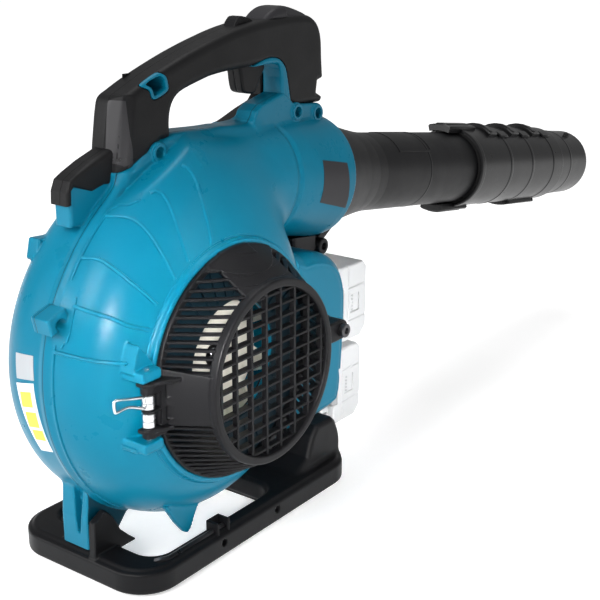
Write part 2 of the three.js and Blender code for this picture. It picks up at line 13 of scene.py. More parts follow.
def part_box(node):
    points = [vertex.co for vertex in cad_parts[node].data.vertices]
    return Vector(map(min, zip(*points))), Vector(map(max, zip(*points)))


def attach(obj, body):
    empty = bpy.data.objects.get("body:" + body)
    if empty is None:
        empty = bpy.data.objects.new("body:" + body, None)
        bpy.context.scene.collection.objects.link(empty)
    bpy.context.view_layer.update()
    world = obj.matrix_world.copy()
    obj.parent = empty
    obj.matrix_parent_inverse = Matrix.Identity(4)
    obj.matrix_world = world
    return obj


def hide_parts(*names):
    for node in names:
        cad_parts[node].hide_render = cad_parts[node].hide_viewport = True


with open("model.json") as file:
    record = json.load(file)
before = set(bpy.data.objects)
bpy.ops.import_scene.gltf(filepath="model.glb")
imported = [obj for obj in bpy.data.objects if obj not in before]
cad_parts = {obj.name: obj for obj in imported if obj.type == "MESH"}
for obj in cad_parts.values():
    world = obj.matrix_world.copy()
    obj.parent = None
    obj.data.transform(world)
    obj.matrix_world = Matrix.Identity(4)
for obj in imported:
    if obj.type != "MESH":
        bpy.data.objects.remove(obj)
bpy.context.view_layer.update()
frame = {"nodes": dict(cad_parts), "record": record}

MM = 0.001
ORIGIN = np.array([
    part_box("base_stand")[0].x,
    (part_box("handle_grip_right")[0].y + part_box("handle_grip_left")[1].y) / 2,
    0.0,
])
FINE = 1.5  # mesh step of the large moulded shells

# ---- driving dimensions, mm ----------------------------------------------------
FAN_X, FAN_Z = 110, 164  # the fan's axis, which runs along Y
RIGHT_Y, LEFT_Y = -72, 58  # the scroll's two sides
SEAM_Y = -12  # parting line of the housing halves
SCROLL_R = 108  # rim radius where the scroll begins
TUBE_Z, TUBE_TILT = 310.6, radians(7.6)  # the blowing tube's axis at X = 0, sloping down forwards
DUCT_END, TUBE_R = 305.6, 38.1
GRIP = 17  # half the handle's width
SHELL = GRIP + 0.6  # half the width of the teal blocks that carry it
HINGE_X, HINGE_Y = 7, -79
HINGE_LOW, HINGE_HIGH = 138.2, 179.8  # ends of the cover's hinge knuckle
LOCK_X, LOCK_Z = 236, 157  # the cover's lock bolt, along Y


# ---- signed distances ------------------------------------------------------------
def smin(a, b, k):
    h = np.maximum(k - np.abs(a - b), 0) / k
    return np.minimum(a, b) - h * h * k / 4


def smax(a, b, k):
    return -smin(-a, -b, k)


def softplus(v, k=8.0):
    return smax(v, np.zeros_like(v), k)


def polygon(points, a, b):
    """Signed distance to a closed outline in the plane of a and b."""
    best = np.full(a.shape, 1e9)
    inside = np.zeros(a.shape, bool)
    count = len(points)
    for i in range(count):
        ax, ay = points[i]
        bx, by = points[(i + 1) % count]
        ex, ey = bx - ax, by - ay
        wx, wy = a - ax, b - ay
        t = np.clip((wx * ex + wy * ey) / (ex * ex + ey * ey), 0, 1)
        dx, dy = wx - t * ex, wy - t * ey
        np.minimum(best, dx * dx + dy * dy, out=best)
        if ey:
            crosses = (ay > b) != (by > b)
            inside ^= crosses & (wx < ex * wy / ey)
    d = np.sqrt(best)
    return np.where(inside, -d, d)


def spline(p0, p1, p2, p3, n):
    """Catmull-Rom points from p1 towards p2, with p2 left out."""
    out = []
    for j in range(n):
        t = j / n
        out.append(tuple(0.5 * (2 * p1 + (p2 - p0) * t + (2 * p0 - 5 * p1 + 4 * p2 - p3) * t * t
                                + (3 * p1 - p0 - 3 * p2 + p3) * t ** 3)))
    return out


def rounded(points, n=6):
    """A closed smooth line through the points."""
    p = [np.array(q, float) for q in points]
    count = len(p)
    out = []
    for i in range(count):
        out += spline(p[i - 1], p[i], p[(i + 1) % count], p[(i + 2) % count], n)
    return out


def curve(points, n=5):
    """An open smooth line through the points, ends included."""
    p = [np.array(q, float) for q in (points[0], *points, points[-1])]
    out = []
    for i in range(1, len(p) - 2):
        out += spline(p[i - 1], p[i], p[i + 1], p[i + 2], n)
    return out + [tuple(p[-1])]


def extrude(d, h, half, r=1.0):
    """A flat shape given depth: half to either side of h = 0, with edges rounded to r."""
    q0, q1 = d + r, np.abs(h) - half + r
    return np.minimum(np.maximum(q0, q1), 0) + np.hypot(np.maximum(q0, 0), np.maximum(q1, 0)) - r


def between(d, h, low, high, r):
    """A flat shape given depth from low to high."""
    return extrude(d, h - (low + high) / 2, (high - low) / 2, r)


def slab(P, outline, y0, y1, r=1.0):
    """An XZ outline given depth along Y."""
    return between(polygon(outline, P[:, 0], P[:, 2]), P[:, 1], y0, y1, r)


def brick(P, x0, x1, y0, y1, z0, z1, r=1.0):
    c = np.array([(x0 + x1) / 2, (y0 + y1) / 2, (z0 + z1) / 2])
    half = np.array([(x1 - x0) / 2, (y1 - y0) / 2, (z1 - z0) / 2]) - r
    q = np.abs(P - c) - half
    return np.minimum(q.max(1), 0) + np.linalg.norm(np.maximum(q, 0), axis=1) - r


def rod_y(P, x, z, radius, y0, y1, r=0.6):
    return between(np.hypot(P[:, 0] - x, P[:, 2] - z) - radius, P[:, 1], y0, y1, r)


def rod_z(P, x, y, radius, z0, z1, r=0.6):
    return between(np.hypot(P[:, 0] - x, P[:, 1] - y) - radius, P[:, 2], z0, z1, r)


def tube_frame(P):
    """Along, across and above the blowing tube's axis."""
    z = P[:, 2] - TUBE_Z
    return np.stack([P[:, 0] * cos(TUBE_TILT) - z * sin(TUBE_TILT), P[:, 1],
                     P[:, 0] * sin(TUBE_TILT) + z * cos(TUBE_TILT)], 1)


def from_tube(Q):
    """Back from the tube's own frame to design coordinates."""
    Q = np.asarray(Q, float)
    return np.stack([Q[..., 0] * cos(TUBE_TILT) + Q[..., 2] * sin(TUBE_TILT), Q[..., 1],
                     TUBE_Z - Q[..., 0] * sin(TUBE_TILT) + Q[..., 2] * cos(TUBE_TILT)], -1)


def from_axis(P):
    """Distance from the fan's axis."""
    return np.hypot(P[:, 0] - FAN_X, P[:, 2] - FAN_Z)


def turn_of(P):
    """Degrees round the fan's axis, from the front down and backwards."""
    return (-np.degrees(np.arctan2(P[:, 2] - FAN_Z, P[:, 0] - FAN_X))) % 360


def bump(v, width):
    """One at v = 0, falling smoothly to zero at the width."""
    t = np.clip(1 - np.abs(v) / width, 0, 1)
    return t * t * (3 - 2 * t)


def ramp(v, a, b):
    """Zero at a, one at b, smooth between."""
    t = np.clip((v - a) / (b - a), 0, 1)
    return t * t * (3 - 2 * t)


# ---- meshing ---------------------------------------------------------------------
CORNERS = np.array(list(product((0, 1), repeat=3)))
EDGES = [(a, b) for a in range(8) for b in range(a + 1, 8) if np.abs(CORNERS[a] - CORNERS[b]).sum() == 1]
BLOCK = 4  # cells to one side of a coarse sample
SETTLE_ROUNDS, SETTLE_STEP = 3, 0.12


def spread_blocks(values):
    """Repeats each coarse value over its block of cells."""
    for axis in range(3):
        values = np.repeat(values, BLOCK, axis)
    return values


def sample(field, low, high, step):
    """The field on a grid, exact near its skin and coarse elsewhere."""
    cells = np.ceil((np.array(high, float) - low) / (step * BLOCK)).astype(int)
    axes = [low[i] + (np.arange(cells[i]) + 0.5) * step * BLOCK for i in range(3)]
    coarse = np.stack(np.meshgrid(*axes, indexing="ij"), -1).reshape(-1, 3)
    value = field(coarse).reshape(cells)
    near = np.abs(value) < step * BLOCK * 1.25 + 1.5
    full = np.pad(spread_blocks(value), ((0, 1),) * 3, mode="edge").astype(np.float64)
    mask = np.pad(spread_blocks(near), ((0, 1),) * 3)
    for axis in range(3):
        mask = mask | np.roll(mask, 1, axis)
    full[mask] = field(low + np.argwhere(mask) * step)
    return full


def cell_points(full, active):
    """One point in each active cell: the mean of the places where its edges cross the skin."""
    values = np.stack([full[tuple((active + c).T)] for c in CORNERS], 1)
    position = np.zeros((len(active), 3))
    hits = np.zeros(len(active))
    for a, b in EDGES:
        va, vb = values[:, a], values[:, b]
        cross = (va < 0) != (vb < 0)
        t = np.where(cross, va / np.where(cross, va - vb, 1), 0)
        point = CORNERS[a] + t[:, None] * (CORNERS[b] - CORNERS[a])
        position += np.where(cross[:, None], point, 0)
        hits += cross
    return active + position / hits[:, None]


def cell_quads(inside, number):
    """Quads joining the four numbered cells round each grid edge that crosses the skin."""
    n = number.shape
    quads = []
    for axis in range(3):
        u, v = (axis + 1) % 3, (axis + 2) % 3
        lo = [slice(None)] * 3
        hi = [slice(None)] * 3
        lo[axis], hi[axis] = slice(0, -1), slice(1, None)
        first, second = inside[tuple(lo)], inside[tuple(hi)]
        where = np.argwhere(first != second)
        where = where[(where[:, u] > 0) & (where[:, v] > 0) & (where[:, u] < n[u]) & (where[:, v] < n[v])]
        leaving = first[tuple(where.T)]
        du, dv = np.eye(3, dtype=int)[u], np.eye(3, dtype=int)[v]
        ring = [where, where - du, where - du - dv, where - dv]
        q = np.stack([number[tuple(r.T)] for r in ring], 1)
        q[~leaving] = q[~leaving][:, ::-1]
        quads.append(q)
    quads = np.concatenate(quads)
    return quads[(quads >= 0).all(1)]


def surface(field, low, high, step):
    """The zero surface of a signed distance inside a box, as vertices, quads and normals."""
    low = np.array(low, float)
    full = sample(field, low, high, step)
    inside = full < 0
    n = np.array(full.shape) - 1
    total = np.zeros(n, int)
    for i, j, k in CORNERS:
        total += inside[i:i + n[0], j:j + n[1], k:k + n[2]]
    active = np.argwhere((total > 0) & (total < 8))
    number = np.full(n, -1)
    number[tuple(active.T)] = np.arange(len(active))
    verts = low + cell_points(full, active) * step
    for _ in range(SETTLE_ROUNDS):
        grad = gradient(field, verts, SETTLE_STEP)
        size = np.maximum((grad * grad).sum(1), 0.2)
        move = np.clip(-field(verts) / size, -step * 0.7, step * 0.7)
        verts = verts + move[:, None] * grad
    return verts, cell_quads(inside, number), unit(gradient(field, verts, SETTLE_STEP))


def gradient(field, points, eps):
    out = np.zeros_like(points)
    for axis in range(3):
        shift = np.zeros(3)
        shift[axis] = eps
        out[:, axis] = (field(points + shift) - field(points - shift)) / (2 * eps)
    return out


SHARP = radians(32)  # faces meeting at more than this keep a crisp edge


def unit(v):
    return v / np.maximum(np.linalg.norm(v, axis=-1), 1e-9)[..., None]


def settle(field, points, level=0.0, rounds=12):
    """Moves points along the gradient until they lie at a level of the field."""
    for _ in range(rounds):
        d = field(points) - level
        grad = gradient(field, points, 0.15)
        size = np.maximum((grad * grad).sum(1), 0.2)
        points = points - (np.clip(d / size, -3, 3))[:, None] * grad
    return points


def put(name, verts, faces, material, body="root", slot=None, stands_for=(), smooth=True, normals=None):
    """One named piece from design-frame vertices, riding on a CAD body."""
    mesh = bpy.data.meshes.new(name)
    verts = np.asarray(verts, float) * MM + ORIGIN
    mesh.from_pydata(verts.tolist(), [], [tuple(int(i) for i in f) for f in faces])
    mesh.update()
    mesh.polygons.foreach_set("use_smooth", [smooth] * len(mesh.polygons))
    if normals is not None:
        mesh.normals_split_custom_set_from_vertices(normals.tolist())
    obj = bpy.data.objects.new(name, mesh)
    bpy.context.scene.collection.objects.link(obj)
    obj.data.materials.append(material)
    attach(obj, body)
    if stands_for:
        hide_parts(*stands_for)
    return obj


def grid_quads(rows, columns):
    """Quads over a grid of vertices numbered row by row."""
    return [(i * columns + j, (i + 1) * columns + j, (i + 1) * columns + j + 1, i * columns + j + 1)
            for i in range(rows - 1) for j in range(columns - 1)]


def plate_on(field, name, corners, material, lift=0.35, cells=(14, 14), thick=0.5, **options):
    """A thin plate laid onto a field's skin, its corners given in order round it."""
    c = np.array(corners, float)
    u = np.linspace(0, 1, cells[0] + 1)[:, None, None]
    v = np.linspace(0, 1, cells[1] + 1)[None, :, None]
    points = c[0] * (1 - u) * (1 - v) + c[1] * u * (1 - v) + c[2] * u * v + c[3] * (1 - u) * v
    points = settle(field, points.reshape(-1, 3), lift)
    under = points - unit(gradient(field, points, 0.15)) * thick
    a, b = cells[0] + 1, cells[1] + 1
    faces = grid_quads(a, b)
    edge = [i * b for i in range(a)] + [(a - 1) * b + j for j in range(1, b)]
    edge += [i * b + b - 1 for i in range(a - 2, -1, -1)] + [j for j in range(b - 2, 0, -1)]
    m = a * b
    for first, second in zip(edge, edge[1:] + edge[:1]):
        faces.append((first, second, second + m, first + m))
    obj = put(name, np.concatenate([points, under]), faces, material, **options)
    obj.data.set_sharp_from_angle(angle=SHARP)
    return obj


def mould(name, field, low, high, material, step=FINE, **options):
    """One piece from the skin of a field inside a box."""
    verts, quads, normals = surface(field, low, high, step)
    put(name, verts, quads, material, normals=normals, **options)


def held(profile, reach=0.7):
    """A turned profile with extra points near the ends of its long runs, which keeps their shading flat."""
    points = [profile[0]]
    for (r0, h0), (r1, h1) in zip(profile, profile[1:]):
        length = hypot(r1 - r0, h1 - h0)
        if length > 4 * reach:
            count = max(1, int(length // 14))
            ends = [reach / length] + [i / count for i in range(1, count)] + [1 - reach / length]
            points += [(r0 + (r1 - r0) * t, h0 + (h1 - h0) * t) for t in ends]
        points.append((r1, h1))
    return points


class Mesh:
    """Collects explicit shapes into one piece."""

    def __init__(self):
        self.verts, self.faces = [], []

    def add(self, verts, faces):
        start = len(self.verts)
        self.verts += [tuple(v) for v in verts]
        self.faces += [tuple(i + start for i in f) for f in faces]

    def box(self, x0, x1, y0, y1, z0, z1, bevel=0.4, turn=None):
        """A block with chamfered edges."""
        b = min(bevel, (x1 - x0) / 2.2, (y1 - y0) / 2.2, (z1 - z0) / 2.2)
        lo, hi = (x0, y0, z0), (x1, y1, z1)
        verts, key = [], {}
        for ends in product((0, 1), repeat=3):
            corner = [hi[a] if s else lo[a] for a, s in enumerate(ends)]
            inner = [c - b if s else c + b for c, s in zip(corner, ends)]
            for a in range(3):
                v = list(inner)
                v[a] = corner[a]
                key[(*ends, a)] = len(verts)
                verts.append(v)
        faces = []
        for a in range(3):
            u, v = (a + 1) % 3, (a + 2) % 3
            for s in (0, 1):
                ring = []
                for p, q in ((0, 0), (1, 0), (1, 1), (0, 1)):
                    c = [0, 0, 0]
                    c[a], c[u], c[v] = s, p, q
                    ring.append(key[(*c, a)])
                faces.append(ring if s else ring[::-1])
            for p, q in product((0, 1), repeat=2):
                c0, c1 = [0, 0, 0], [0, 0, 0]
                c0[u], c0[v], c1[u], c1[v], c1[a] = p, q, p, q, 1
                ring = [key[(*c0, u)], key[(*c1, u)], key[(*c1, v)], key[(*c0, v)]]
                faces.append(ring if p == q else ring[::-1])
        for ends in product((0, 1), repeat=3):
            ring = [key[(*ends, a)] for a in range(3)]
            faces.append(ring if sum(ends) % 2 else ring[::-1])
        if turn is not None:
            verts = [turn(v) for v in verts]
        self.add(verts, faces)

    def lathe(self, profile, place, sides=48, close=True):
        """Turns (radius, along) about an axis; place maps (along, two across) to a point."""
        profile = held(profile)
        verts, faces = [], []
        for i in range(sides):
            a = 2 * pi * i / sides
            for r, h in profile:
                verts.append(place(h, r * cos(a), r * sin(a)))
        n = len(profile)
        spans = n if close else n - 1
        for i in range(sides):
            k = (i + 1) % sides
            for j in range(spans):
                m = (j + 1) % n
                faces.append((i * n + j, i * n + m, k * n + m, k * n + j))
        self.add(verts, faces)

    def tube(self, path, r, sides):
        """A round wire along a list of points."""
        path = [Vector(p) for p in path]
        verts, faces = [], []
        normal = None
        for i, p in enumerate(path):
            t = (path[min(i + 1, len(path) - 1)] - path[max(i - 1, 0)]).normalized()
            if normal is None:
                normal = t.orthogonal().normalized()
            normal = (normal - t * normal.dot(t)).normalized()
            side = t.cross(normal)
            for j in range(sides):
                a = 2 * pi * j / sides
                verts.append(tuple(p + normal * (r * cos(a)) + side * (r * sin(a))))
        for i in range(len(path) - 1):
            for j in range(sides):
                k = (j + 1) % sides
                faces.append((i * sides + j, i * sides + k, (i + 1) * sides + k, (i + 1) * sides + j))
        last = (len(path) - 1) * sides
        faces.append(tuple(range(sides))[::-1])
        faces.append(tuple(last + j for j in range(sides)))
        self.add(verts, faces)

    def bead(self, field, path, width, height, closed=False, pitch=1.5, fade=2.5):
        """A rounded rib laid along a line of points on a field's skin."""
        p = np.array(path, float)
        if closed:
            p = np.concatenate([p, p[:1]])
        run = np.concatenate([[0], np.cumsum(np.linalg.norm(np.diff(p, axis=0), axis=1))])
        t = np.linspace(0, run[-1], max(6, int(run[-1] / pitch)))
        p = settle(field, np.stack([np.interp(t, run, p[:, k]) for k in range(3)], 1))
        if closed:
            p = p[:-1]
            ahead, behind = np.roll(p, -1, 0), np.roll(p, 1, 0)
        else:
            ahead, behind = np.concatenate([p[1:], p[-1:]]), np.concatenate([p[:1], p[:-1]])
        normal = unit(gradient(field, p, 0.4))
        side = unit(np.cross(unit(ahead - behind), normal))
        half = [(0.14, 1), (0.36, 0.82), (0.5, 0.1), (0.62, -0.9)]
        profile = [(-a, b) for a, b in half[::-1]] + half
        if closed:
            tip = np.ones(len(p))
        else:
            tip = np.clip(np.minimum(t, run[-1] - t) / fade, 0.05, 1) ** 0.5
        rows = []
        for a, b in profile:
            rise = b * height * tip if b > 0 else np.full(len(p), b)
            rows.append(p + side * (a * width) + normal * rise[:, None])
        verts = np.stack(rows, 1).reshape(-1, 3)
        n, m = len(p), len(profile)
        faces = grid_quads(n, m)
        if closed:
            faces += [((n - 1) * m + j, j, j + 1, (n - 1) * m + j + 1) for j in range(m - 1)]
        else:
            faces += [tuple(range(m)), tuple(range(n * m - 1, n * m - m - 1, -1))]
        self.add(verts, [f[::-1] for f in faces])

    def put(self, name, material, **options):
        obj = put(name, self.verts, self.faces, material, **options)
        obj.data.set_sharp_from_angle(angle=SHARP)


def along_y(x, z):
    """An axis parallel to Y."""
    return lambda h, a, b: (x + a, h, z + b)


def along_z(x, y):
    """An upright axis."""
    return lambda h, a, b: (x + b, y + a, h)


def along_tube(h, a, b):
    """The blowing tube's axis."""
    return tuple(from_tube((h, a, b)))


def around_fan(angle):
    """Turns a block drawn as (reach, y, across) about the fan's axis."""
    def place(v):
        reach, y, across = v
        return (FAN_X + reach * cos(angle) - across * sin(angle), y,
                FAN_Z + reach * sin(angle) + across * cos(angle))
    return place


# ---- materials -------------------------------------------------------------------
def shader(name):
    material = bpy.data.materials.new(name)
    material.use_nodes = True
    nodes, links = material.node_tree.nodes, material.node_tree.links
    nodes.clear()
    out = nodes.new("ShaderNodeOutputMaterial")
    body = nodes.new("ShaderNodeBsdfPrincipled")
    links.new(body.outputs[0], out.inputs[0])
    coords = nodes.new("ShaderNodeTexCoord")
    return material, nodes, links, body, coords.outputs["Object"]


def add_node(nodes, kind, **values):
    """A shader node with some of its inputs set."""
    node = nodes.new("ShaderNode" + kind)
    for key, value in values.items():
        node.inputs[key.replace("_", " ")].default_value = value
    return node


def noise(nodes, links, coords, scale, detail=3.0, rough=0.5):
    n = add_node(nodes, "TexNoise", Scale=scale, Detail=detail, Roughness=rough)
    links.new(coords, n.inputs["Vector"])
    return n.outputs["Fac"]


def stops(nodes, links, source, places):
    """A ramp from a factor to colours or greys."""
    r = nodes.new("ShaderNodeValToRGB")
    elements = r.color_ramp.elements
    while len(elements) < len(places):
        elements.new(0.5)
    for e, (at, colour) in zip(elements, places):
        e.position = at
        e.color = (*colour, 1) if isinstance(colour, tuple) else (colour, colour, colour, 1)
    links.new(source, r.inputs[0])
    return r.outputs[0]


def blend_colour(nodes, links, factor, a, b):
    m = nodes.new("ShaderNodeMix")
    m.data_type = "RGBA"
    links.new(factor, m.inputs[0])
    for socket, value in ((m.inputs[6], a), (m.inputs[7], b)):
        if isinstance(value, tuple):
            socket.default_value = (*value, 1)
        else:
            links.new(value, socket)
    return m.outputs[2]


def relief(nodes, links, height, strength, depth):
    """Bump from a height, its depth in metres."""
    bump_node = add_node(nodes, "Bump", Strength=strength, Distance=depth)
    links.new(height, bump_node.inputs["Height"])
    return bump_node


def seam_line(nodes, links, coords, y):
    """Zero on the parting line at one Y, one away from it."""
    split = add_node(nodes, "SeparateXYZ")
    links.new(coords, split.inputs[0])
    off = nodes.new("ShaderNodeMath")
    off.operation = "SUBTRACT"
    links.new(split.outputs[1], off.inputs[0])
    off.inputs[1].default_value = ORIGIN[1] + y * MM
    size = nodes.new("ShaderNodeMath")
    size.operation = "ABSOLUTE"
    links.new(off.outputs[0], size.inputs[0])
    line = add_node(nodes, "MapRange", From_Min=0.0002, From_Max=0.00045)
    links.new(size.outputs[0], line.inputs["Value"])
    return line.outputs[0]


def plastic(name, colour, rough, grain=0.12, grain_scale=1500, spread=0.10, wear=0.35, seam=None, shine=0.16):
    """Moulded plastic: fine grain, slow colour and gloss drift, rubbed edges, and a parting line."""
    material, nodes, links, body, coords = shader(name)
    dark = tuple(c * (1 - spread) for c in colour)
    light = tuple(min(1, c * (1 + spread) + 0.002) for c in colour)
    edge = tuple(min(1, c * 1.5 + 0.03) for c in colour)
    groove = tuple(c * 0.25 for c in colour)
    base = stops(nodes, links, noise(nodes, links, coords, 9, 4), [(0.35, dark), (0.65, light)])
    corners = add_node(nodes, "NewGeometry").outputs["Pointiness"]
    base = blend_colour(nodes, links, stops(nodes, links, corners, [(0.53, 0.0), (0.62, wear)]), base, edge)
    gloss = stops(nodes, links, noise(nodes, links, coords, 38, 5, 0.6),
                  [(0.3, rough * 0.88), (0.7, min(1, rough * 1.12))])
    grained = relief(nodes, links, noise(nodes, links, coords, grain_scale, 2, 0.6), grain, 0.0002)
    if seam is not None:
        line = seam_line(nodes, links, coords, seam)
        base = blend_colour(nodes, links, line, groove, base)
        cut = relief(nodes, links, line, 0.6, 0.0008)
        links.new(grained.outputs[0], cut.inputs["Normal"])
        grained = cut
    links.new(base, body.inputs["Base Color"])
    links.new(gloss, body.inputs["Roughness"])
    links.new(grained.outputs[0], body.inputs["Normal"])
    body.inputs["Specular IOR Level"].default_value = shine
    return material


def metal(name, colour, rough, brush=0.25):
    """Metal with fine upright brushing."""
    material, nodes, links, body, coords = shader(name)
    stretch = add_node(nodes, "Mapping", Scale=(1, 1, 14))
    links.new(coords, stretch.inputs["Vector"])
    slow = noise(nodes, links, coords, 60, 4)
    tint = stops(nodes, links, slow, [(0.3, tuple(c * 0.82 for c in colour)), (0.7, colour)])
    gloss = stops(nodes, links, slow, [(0.3, rough * 0.7), (0.75, rough * 1.4)])
    brushed = relief(nodes, links, noise(nodes, links, stretch.outputs[0], 420, 3), brush, 0.00008)
    links.new(tint, body.inputs["Base Color"])
    links.new(gloss, body.inputs["Roughness"])
    links.new(brushed.outputs[0], body.inputs["Normal"])
    body.inputs["Metallic"].default_value = 1.0
    return material


TEAL_COLOUR = (0.0, 0.138, 0.226)
TEAL = plastic("teal_plastic", TEAL_COLOUR, 0.30, grain=0.08, spread=0.07, wear=0.15, seam=SEAM_Y, shine=0.15)
TEAL_PART = plastic("teal_part", TEAL_COLOUR, 0.30, grain=0.08, spread=0.07, wear=0.15, shine=0.15)
# Painted shade: this teal is made almost black to stand for the shade inside the intake behind the grille.
TEAL_INLET_PAINTED_SHADE = plastic("teal_inlet_painted_shade", (0.0, 0.010, 0.017), 0.5, wear=0.1)
BLACK = plastic("black_plastic", (0.0042, 0.0042, 0.0050), 0.42, grain=0.25, grain_scale=1100, wear=0.10)
GRIP_BLACK = plastic("grip_black", (0.0050, 0.0050, 0.0056), 0.50, grain=0.4, grain_scale=900, wear=0.10,
                     seam=0)
SATIN = plastic("black_satin", (0.0045, 0.0045, 0.0052), 0.30, grain=0.12, wear=0.12, shine=0.24)
CHARCOAL = plastic("charcoal_plastic", (0.018, 0.0175, 0.020), 0.46, grain=0.3, grain_scale=1000, wear=0.12)
RUBBER = plastic("rubber", (0.008, 0.008, 0.008), 0.82, grain=0.4, grain_scale=700, wear=0.1, shine=0.15)
CREAM = plastic("cream_plastic", (0.86, 0.83, 0.72), 0.42, grain=0.12, spread=0.04, wear=0.1)
PACK = plastic("battery_plastic", (0.66, 0.67, 0.68), 0.5, grain=0.2, grain_scale=1000, spread=0.03, wear=0.2)
PACK_DARK = plastic("battery_trim", (0.42, 0.43, 0.44), 0.5, grain=0.25, spread=0.05)
# Painted highlight: a lighter, glossier black for the rear post's chamfered facet, standing for the light
# that facet catches.
FACET_PAINTED_HIGHLIGHT = plastic("grip_facet_painted_highlight", (0.013, 0.0125, 0.0145), 0.5, grain=0.3, grain_scale=900, wear=0.1, shine=0.4)
PLATE = plastic("blank_plate", (0.030, 0.029, 0.032), 0.32, grain=0.05, spread=0.1, wear=0.05)
LABEL = plastic("blank_label", (0.74, 0.75, 0.76), 0.42, grain=0.04, spread=0.03, wear=0.0)
LABEL_GREY = plastic("blank_label_grey", (0.36, 0.38, 0.40), 0.42, grain=0.04, spread=0.03, wear=0.0)
YELLOW = plastic("label_yellow", (0.78, 0.60, 0.08), 0.45, grain=0.04, spread=0.05, wear=0.0)
BOARD = plastic("circuit_board", (0.01, 0.09, 0.035), 0.45, grain=0.3)
ZINC = metal("zinc_plate", (0.80, 0.81, 0.83), 0.22)
STEEL = metal("dark_steel", (0.10, 0.10, 0.105), 0.36)

SLOT_MATERIAL = {
    "teal_plastic": TEAL, "black_plastic": BLACK, "charcoal_plastic": CHARCOAL, "rubber": RUBBER,
    "steel": ZINC, "cream_plastic": CREAM, "board": BOARD, "battery_plastic": PACK,
}
for part in frame["record"]["subparts"]:
    node = frame["nodes"].get(part["node"])
    if node is not None:
        node.data.materials.clear()
        node.data.materials.append(SLOT_MATERIAL[part["material_slot"]])


# ---- scroll housing ---------------------------------------------------------------
def spiral_radius(turn):
    """The rim's distance from the fan's axis; it swells to a turn of 270 degrees, then falls back."""
    swell = SCROLL_R + 33 * (1 - np.exp(-turn / 70)) + 25 * (np.minimum(turn, 270) / 270) ** 10
    fall = np.clip((turn - 270) / 90, 0, 1)
    return np.where(turn > 270, SCROLL_R + 29 * (1 + np.cos(pi * fall)), swell)


def scroll_field(P):
    rho, y = from_axis(P), P[:, 1]
    rim = rho - spiral_radius(turn_of(P)) - 1.5 * bump(y - SEAM_Y, 7)
    right = (RIGHT_Y + 0.5 * softplus(rho - 98) - y) * 0.92
    left = (y - LEFT_Y + 0.5 * softplus(rho - 100)) * 0.92
    return smax(smax(rim, right, 34), left, 28)


def duct_field(P):
    along, across, above = tube_frame(P).T
    reach = np.hypot(across, above)
    r = reach - np.interp(along, [60, 100, 150, 200, 250, 296], [22, 33, 39, 45, 52, 56])
    r = r + 1.7 * bump(along - 231, 4.5) * ramp(-across, 8, 24)
    d = smax(smax(r, along - DUCT_END, 2.0), 62 - along, 20)
    return smax(d, -extrude(reach - 53.2, along - DUCT_END, 3, 0.4), 0.5)


PLINTH = [(50, 280), (50.3, 314), (64, 314), (77, 318), (85, 321), (90, 329.6), (97, 330.4),
          (106, 331.2), (124, 322), (140, 290)]
POST_FOOT = [(214, 300), (206, 333), (210, 340.5), (218, 345), (247, 352), (262, 340.5), (297.5, 337.5),
             (303, 329), (300, 318), (306, 300)]
BUMPER_FOOT = [(10.5, 280), (10.5, 308), (14, 310.5), (32, 305.2), (46, 309), (58, 309), (74, 300), (60, 280)]


def corner_facet(P, shift=0.0):
    """The rear post's chamfered near corner, carried down into the teal plinth."""
    x, y = P[:, 0] - 0.2 * (P[:, 2] - 345), P[:, 1]
    rear = -0.953 * (x - 55) - 0.303 * y
    side = -0.625 * (x - 58.5) - 0.781 * (y + 11)
    return np.maximum(rear, side) - shift


REAR_BOSSES = [(90.6, 323.9), (264, 333.7), (293.7, 329.3)]
RIM_BOSSES = []
for turn, out in ((52.0, -1), (98.0, -1), (203.0, 3)):
    reach = float(spiral_radius(np.array([turn]))[0]) + out
    RIM_BOSSES.append((FAN_X + reach * cos(radians(-turn)), FAN_Z + reach * sin(radians(-turn))))

LEG = [(4, 24), (32, 24), (50, 44), (66, 58), (60, 92), (8, 112), (7, 84), (4, 50)]


def upper_blocks(P, d):
    """The solid blocks under the handle's rear post, rear bumper and front post."""
    y, z = P[:, 1], P[:, 2]
    plinth = slab(P, PLINTH, -SHELL, SHELL, 1.5)
    d = smin(d, smax(plinth, corner_facet(P, 0.7), 1.0), 3)
    d = smin(d, slab(P, BUMPER_FOOT, -6.8, 10, 2), 2.5)
    foot = slab(P, POST_FOOT, -GRIP - 1.3, SHELL, 1.5)
    foot = smax(foot, np.minimum(z - 329, y - 4), 2)
    far_side = [(180, 300), (192, 330), (236, 336), (262, 336), (300, 330), (300, 300)]
    d = smin(smin(d, foot, 3), slab(P, far_side, 0, SHELL, 1.5), 4)
    crest = [(100, 300), (108, 330), (170, 333), (214, 329), (250, 300)]
    return smin(d, slab(P, crest, -16, 6, 4), 8)


def rear_leg(P, d):
    """The leg that stands in the base, with a slot in its rear."""
    x, y, z = P.T
    leg = slab(P, LEG, -12, 17, 2)
    slot_side = np.abs(y + 1.5) - 1.2 - (z - 36) * 0.11
    slot_ends = np.maximum(np.maximum(z - 88, 37 - z), x - 12)
    return smin(d, smax(leg, -np.maximum(slot_side, slot_ends), 1.2), 3)


def bosses_and_lugs(P, d):
    """Screw bosses, and the two lugs on the rear of the rim."""
    for bx, bz in RIM_BOSSES[:2]:
        d = smin(d, rod_y(P, bx, bz, 7.5, -24, SEAM_Y + 4, 1.5), 4)
    d = smin(d, slab(P, [(-31, 213), (-34, 226), (-17, 231.5), (-14, 219)], -27, -8, 1.5), 1.2)
    d = smin(d, slab(P, [(5, 251), (9, 267), (24, 266), (20, 249)], 26, 40, 3), 1.5)
    for bx, bz in REAR_BOSSES:
        d = smin(d, rod_y(P, bx, bz, 8.2, -GRIP - 2.6, -8, 1.0), 1.0)
    for bx, bz in REAR_BOSSES + RIM_BOSSES:
        d = smax(d, -rod_y(P, bx, bz, 4.4, -40, -10, 0.3), 0.6)
    return d


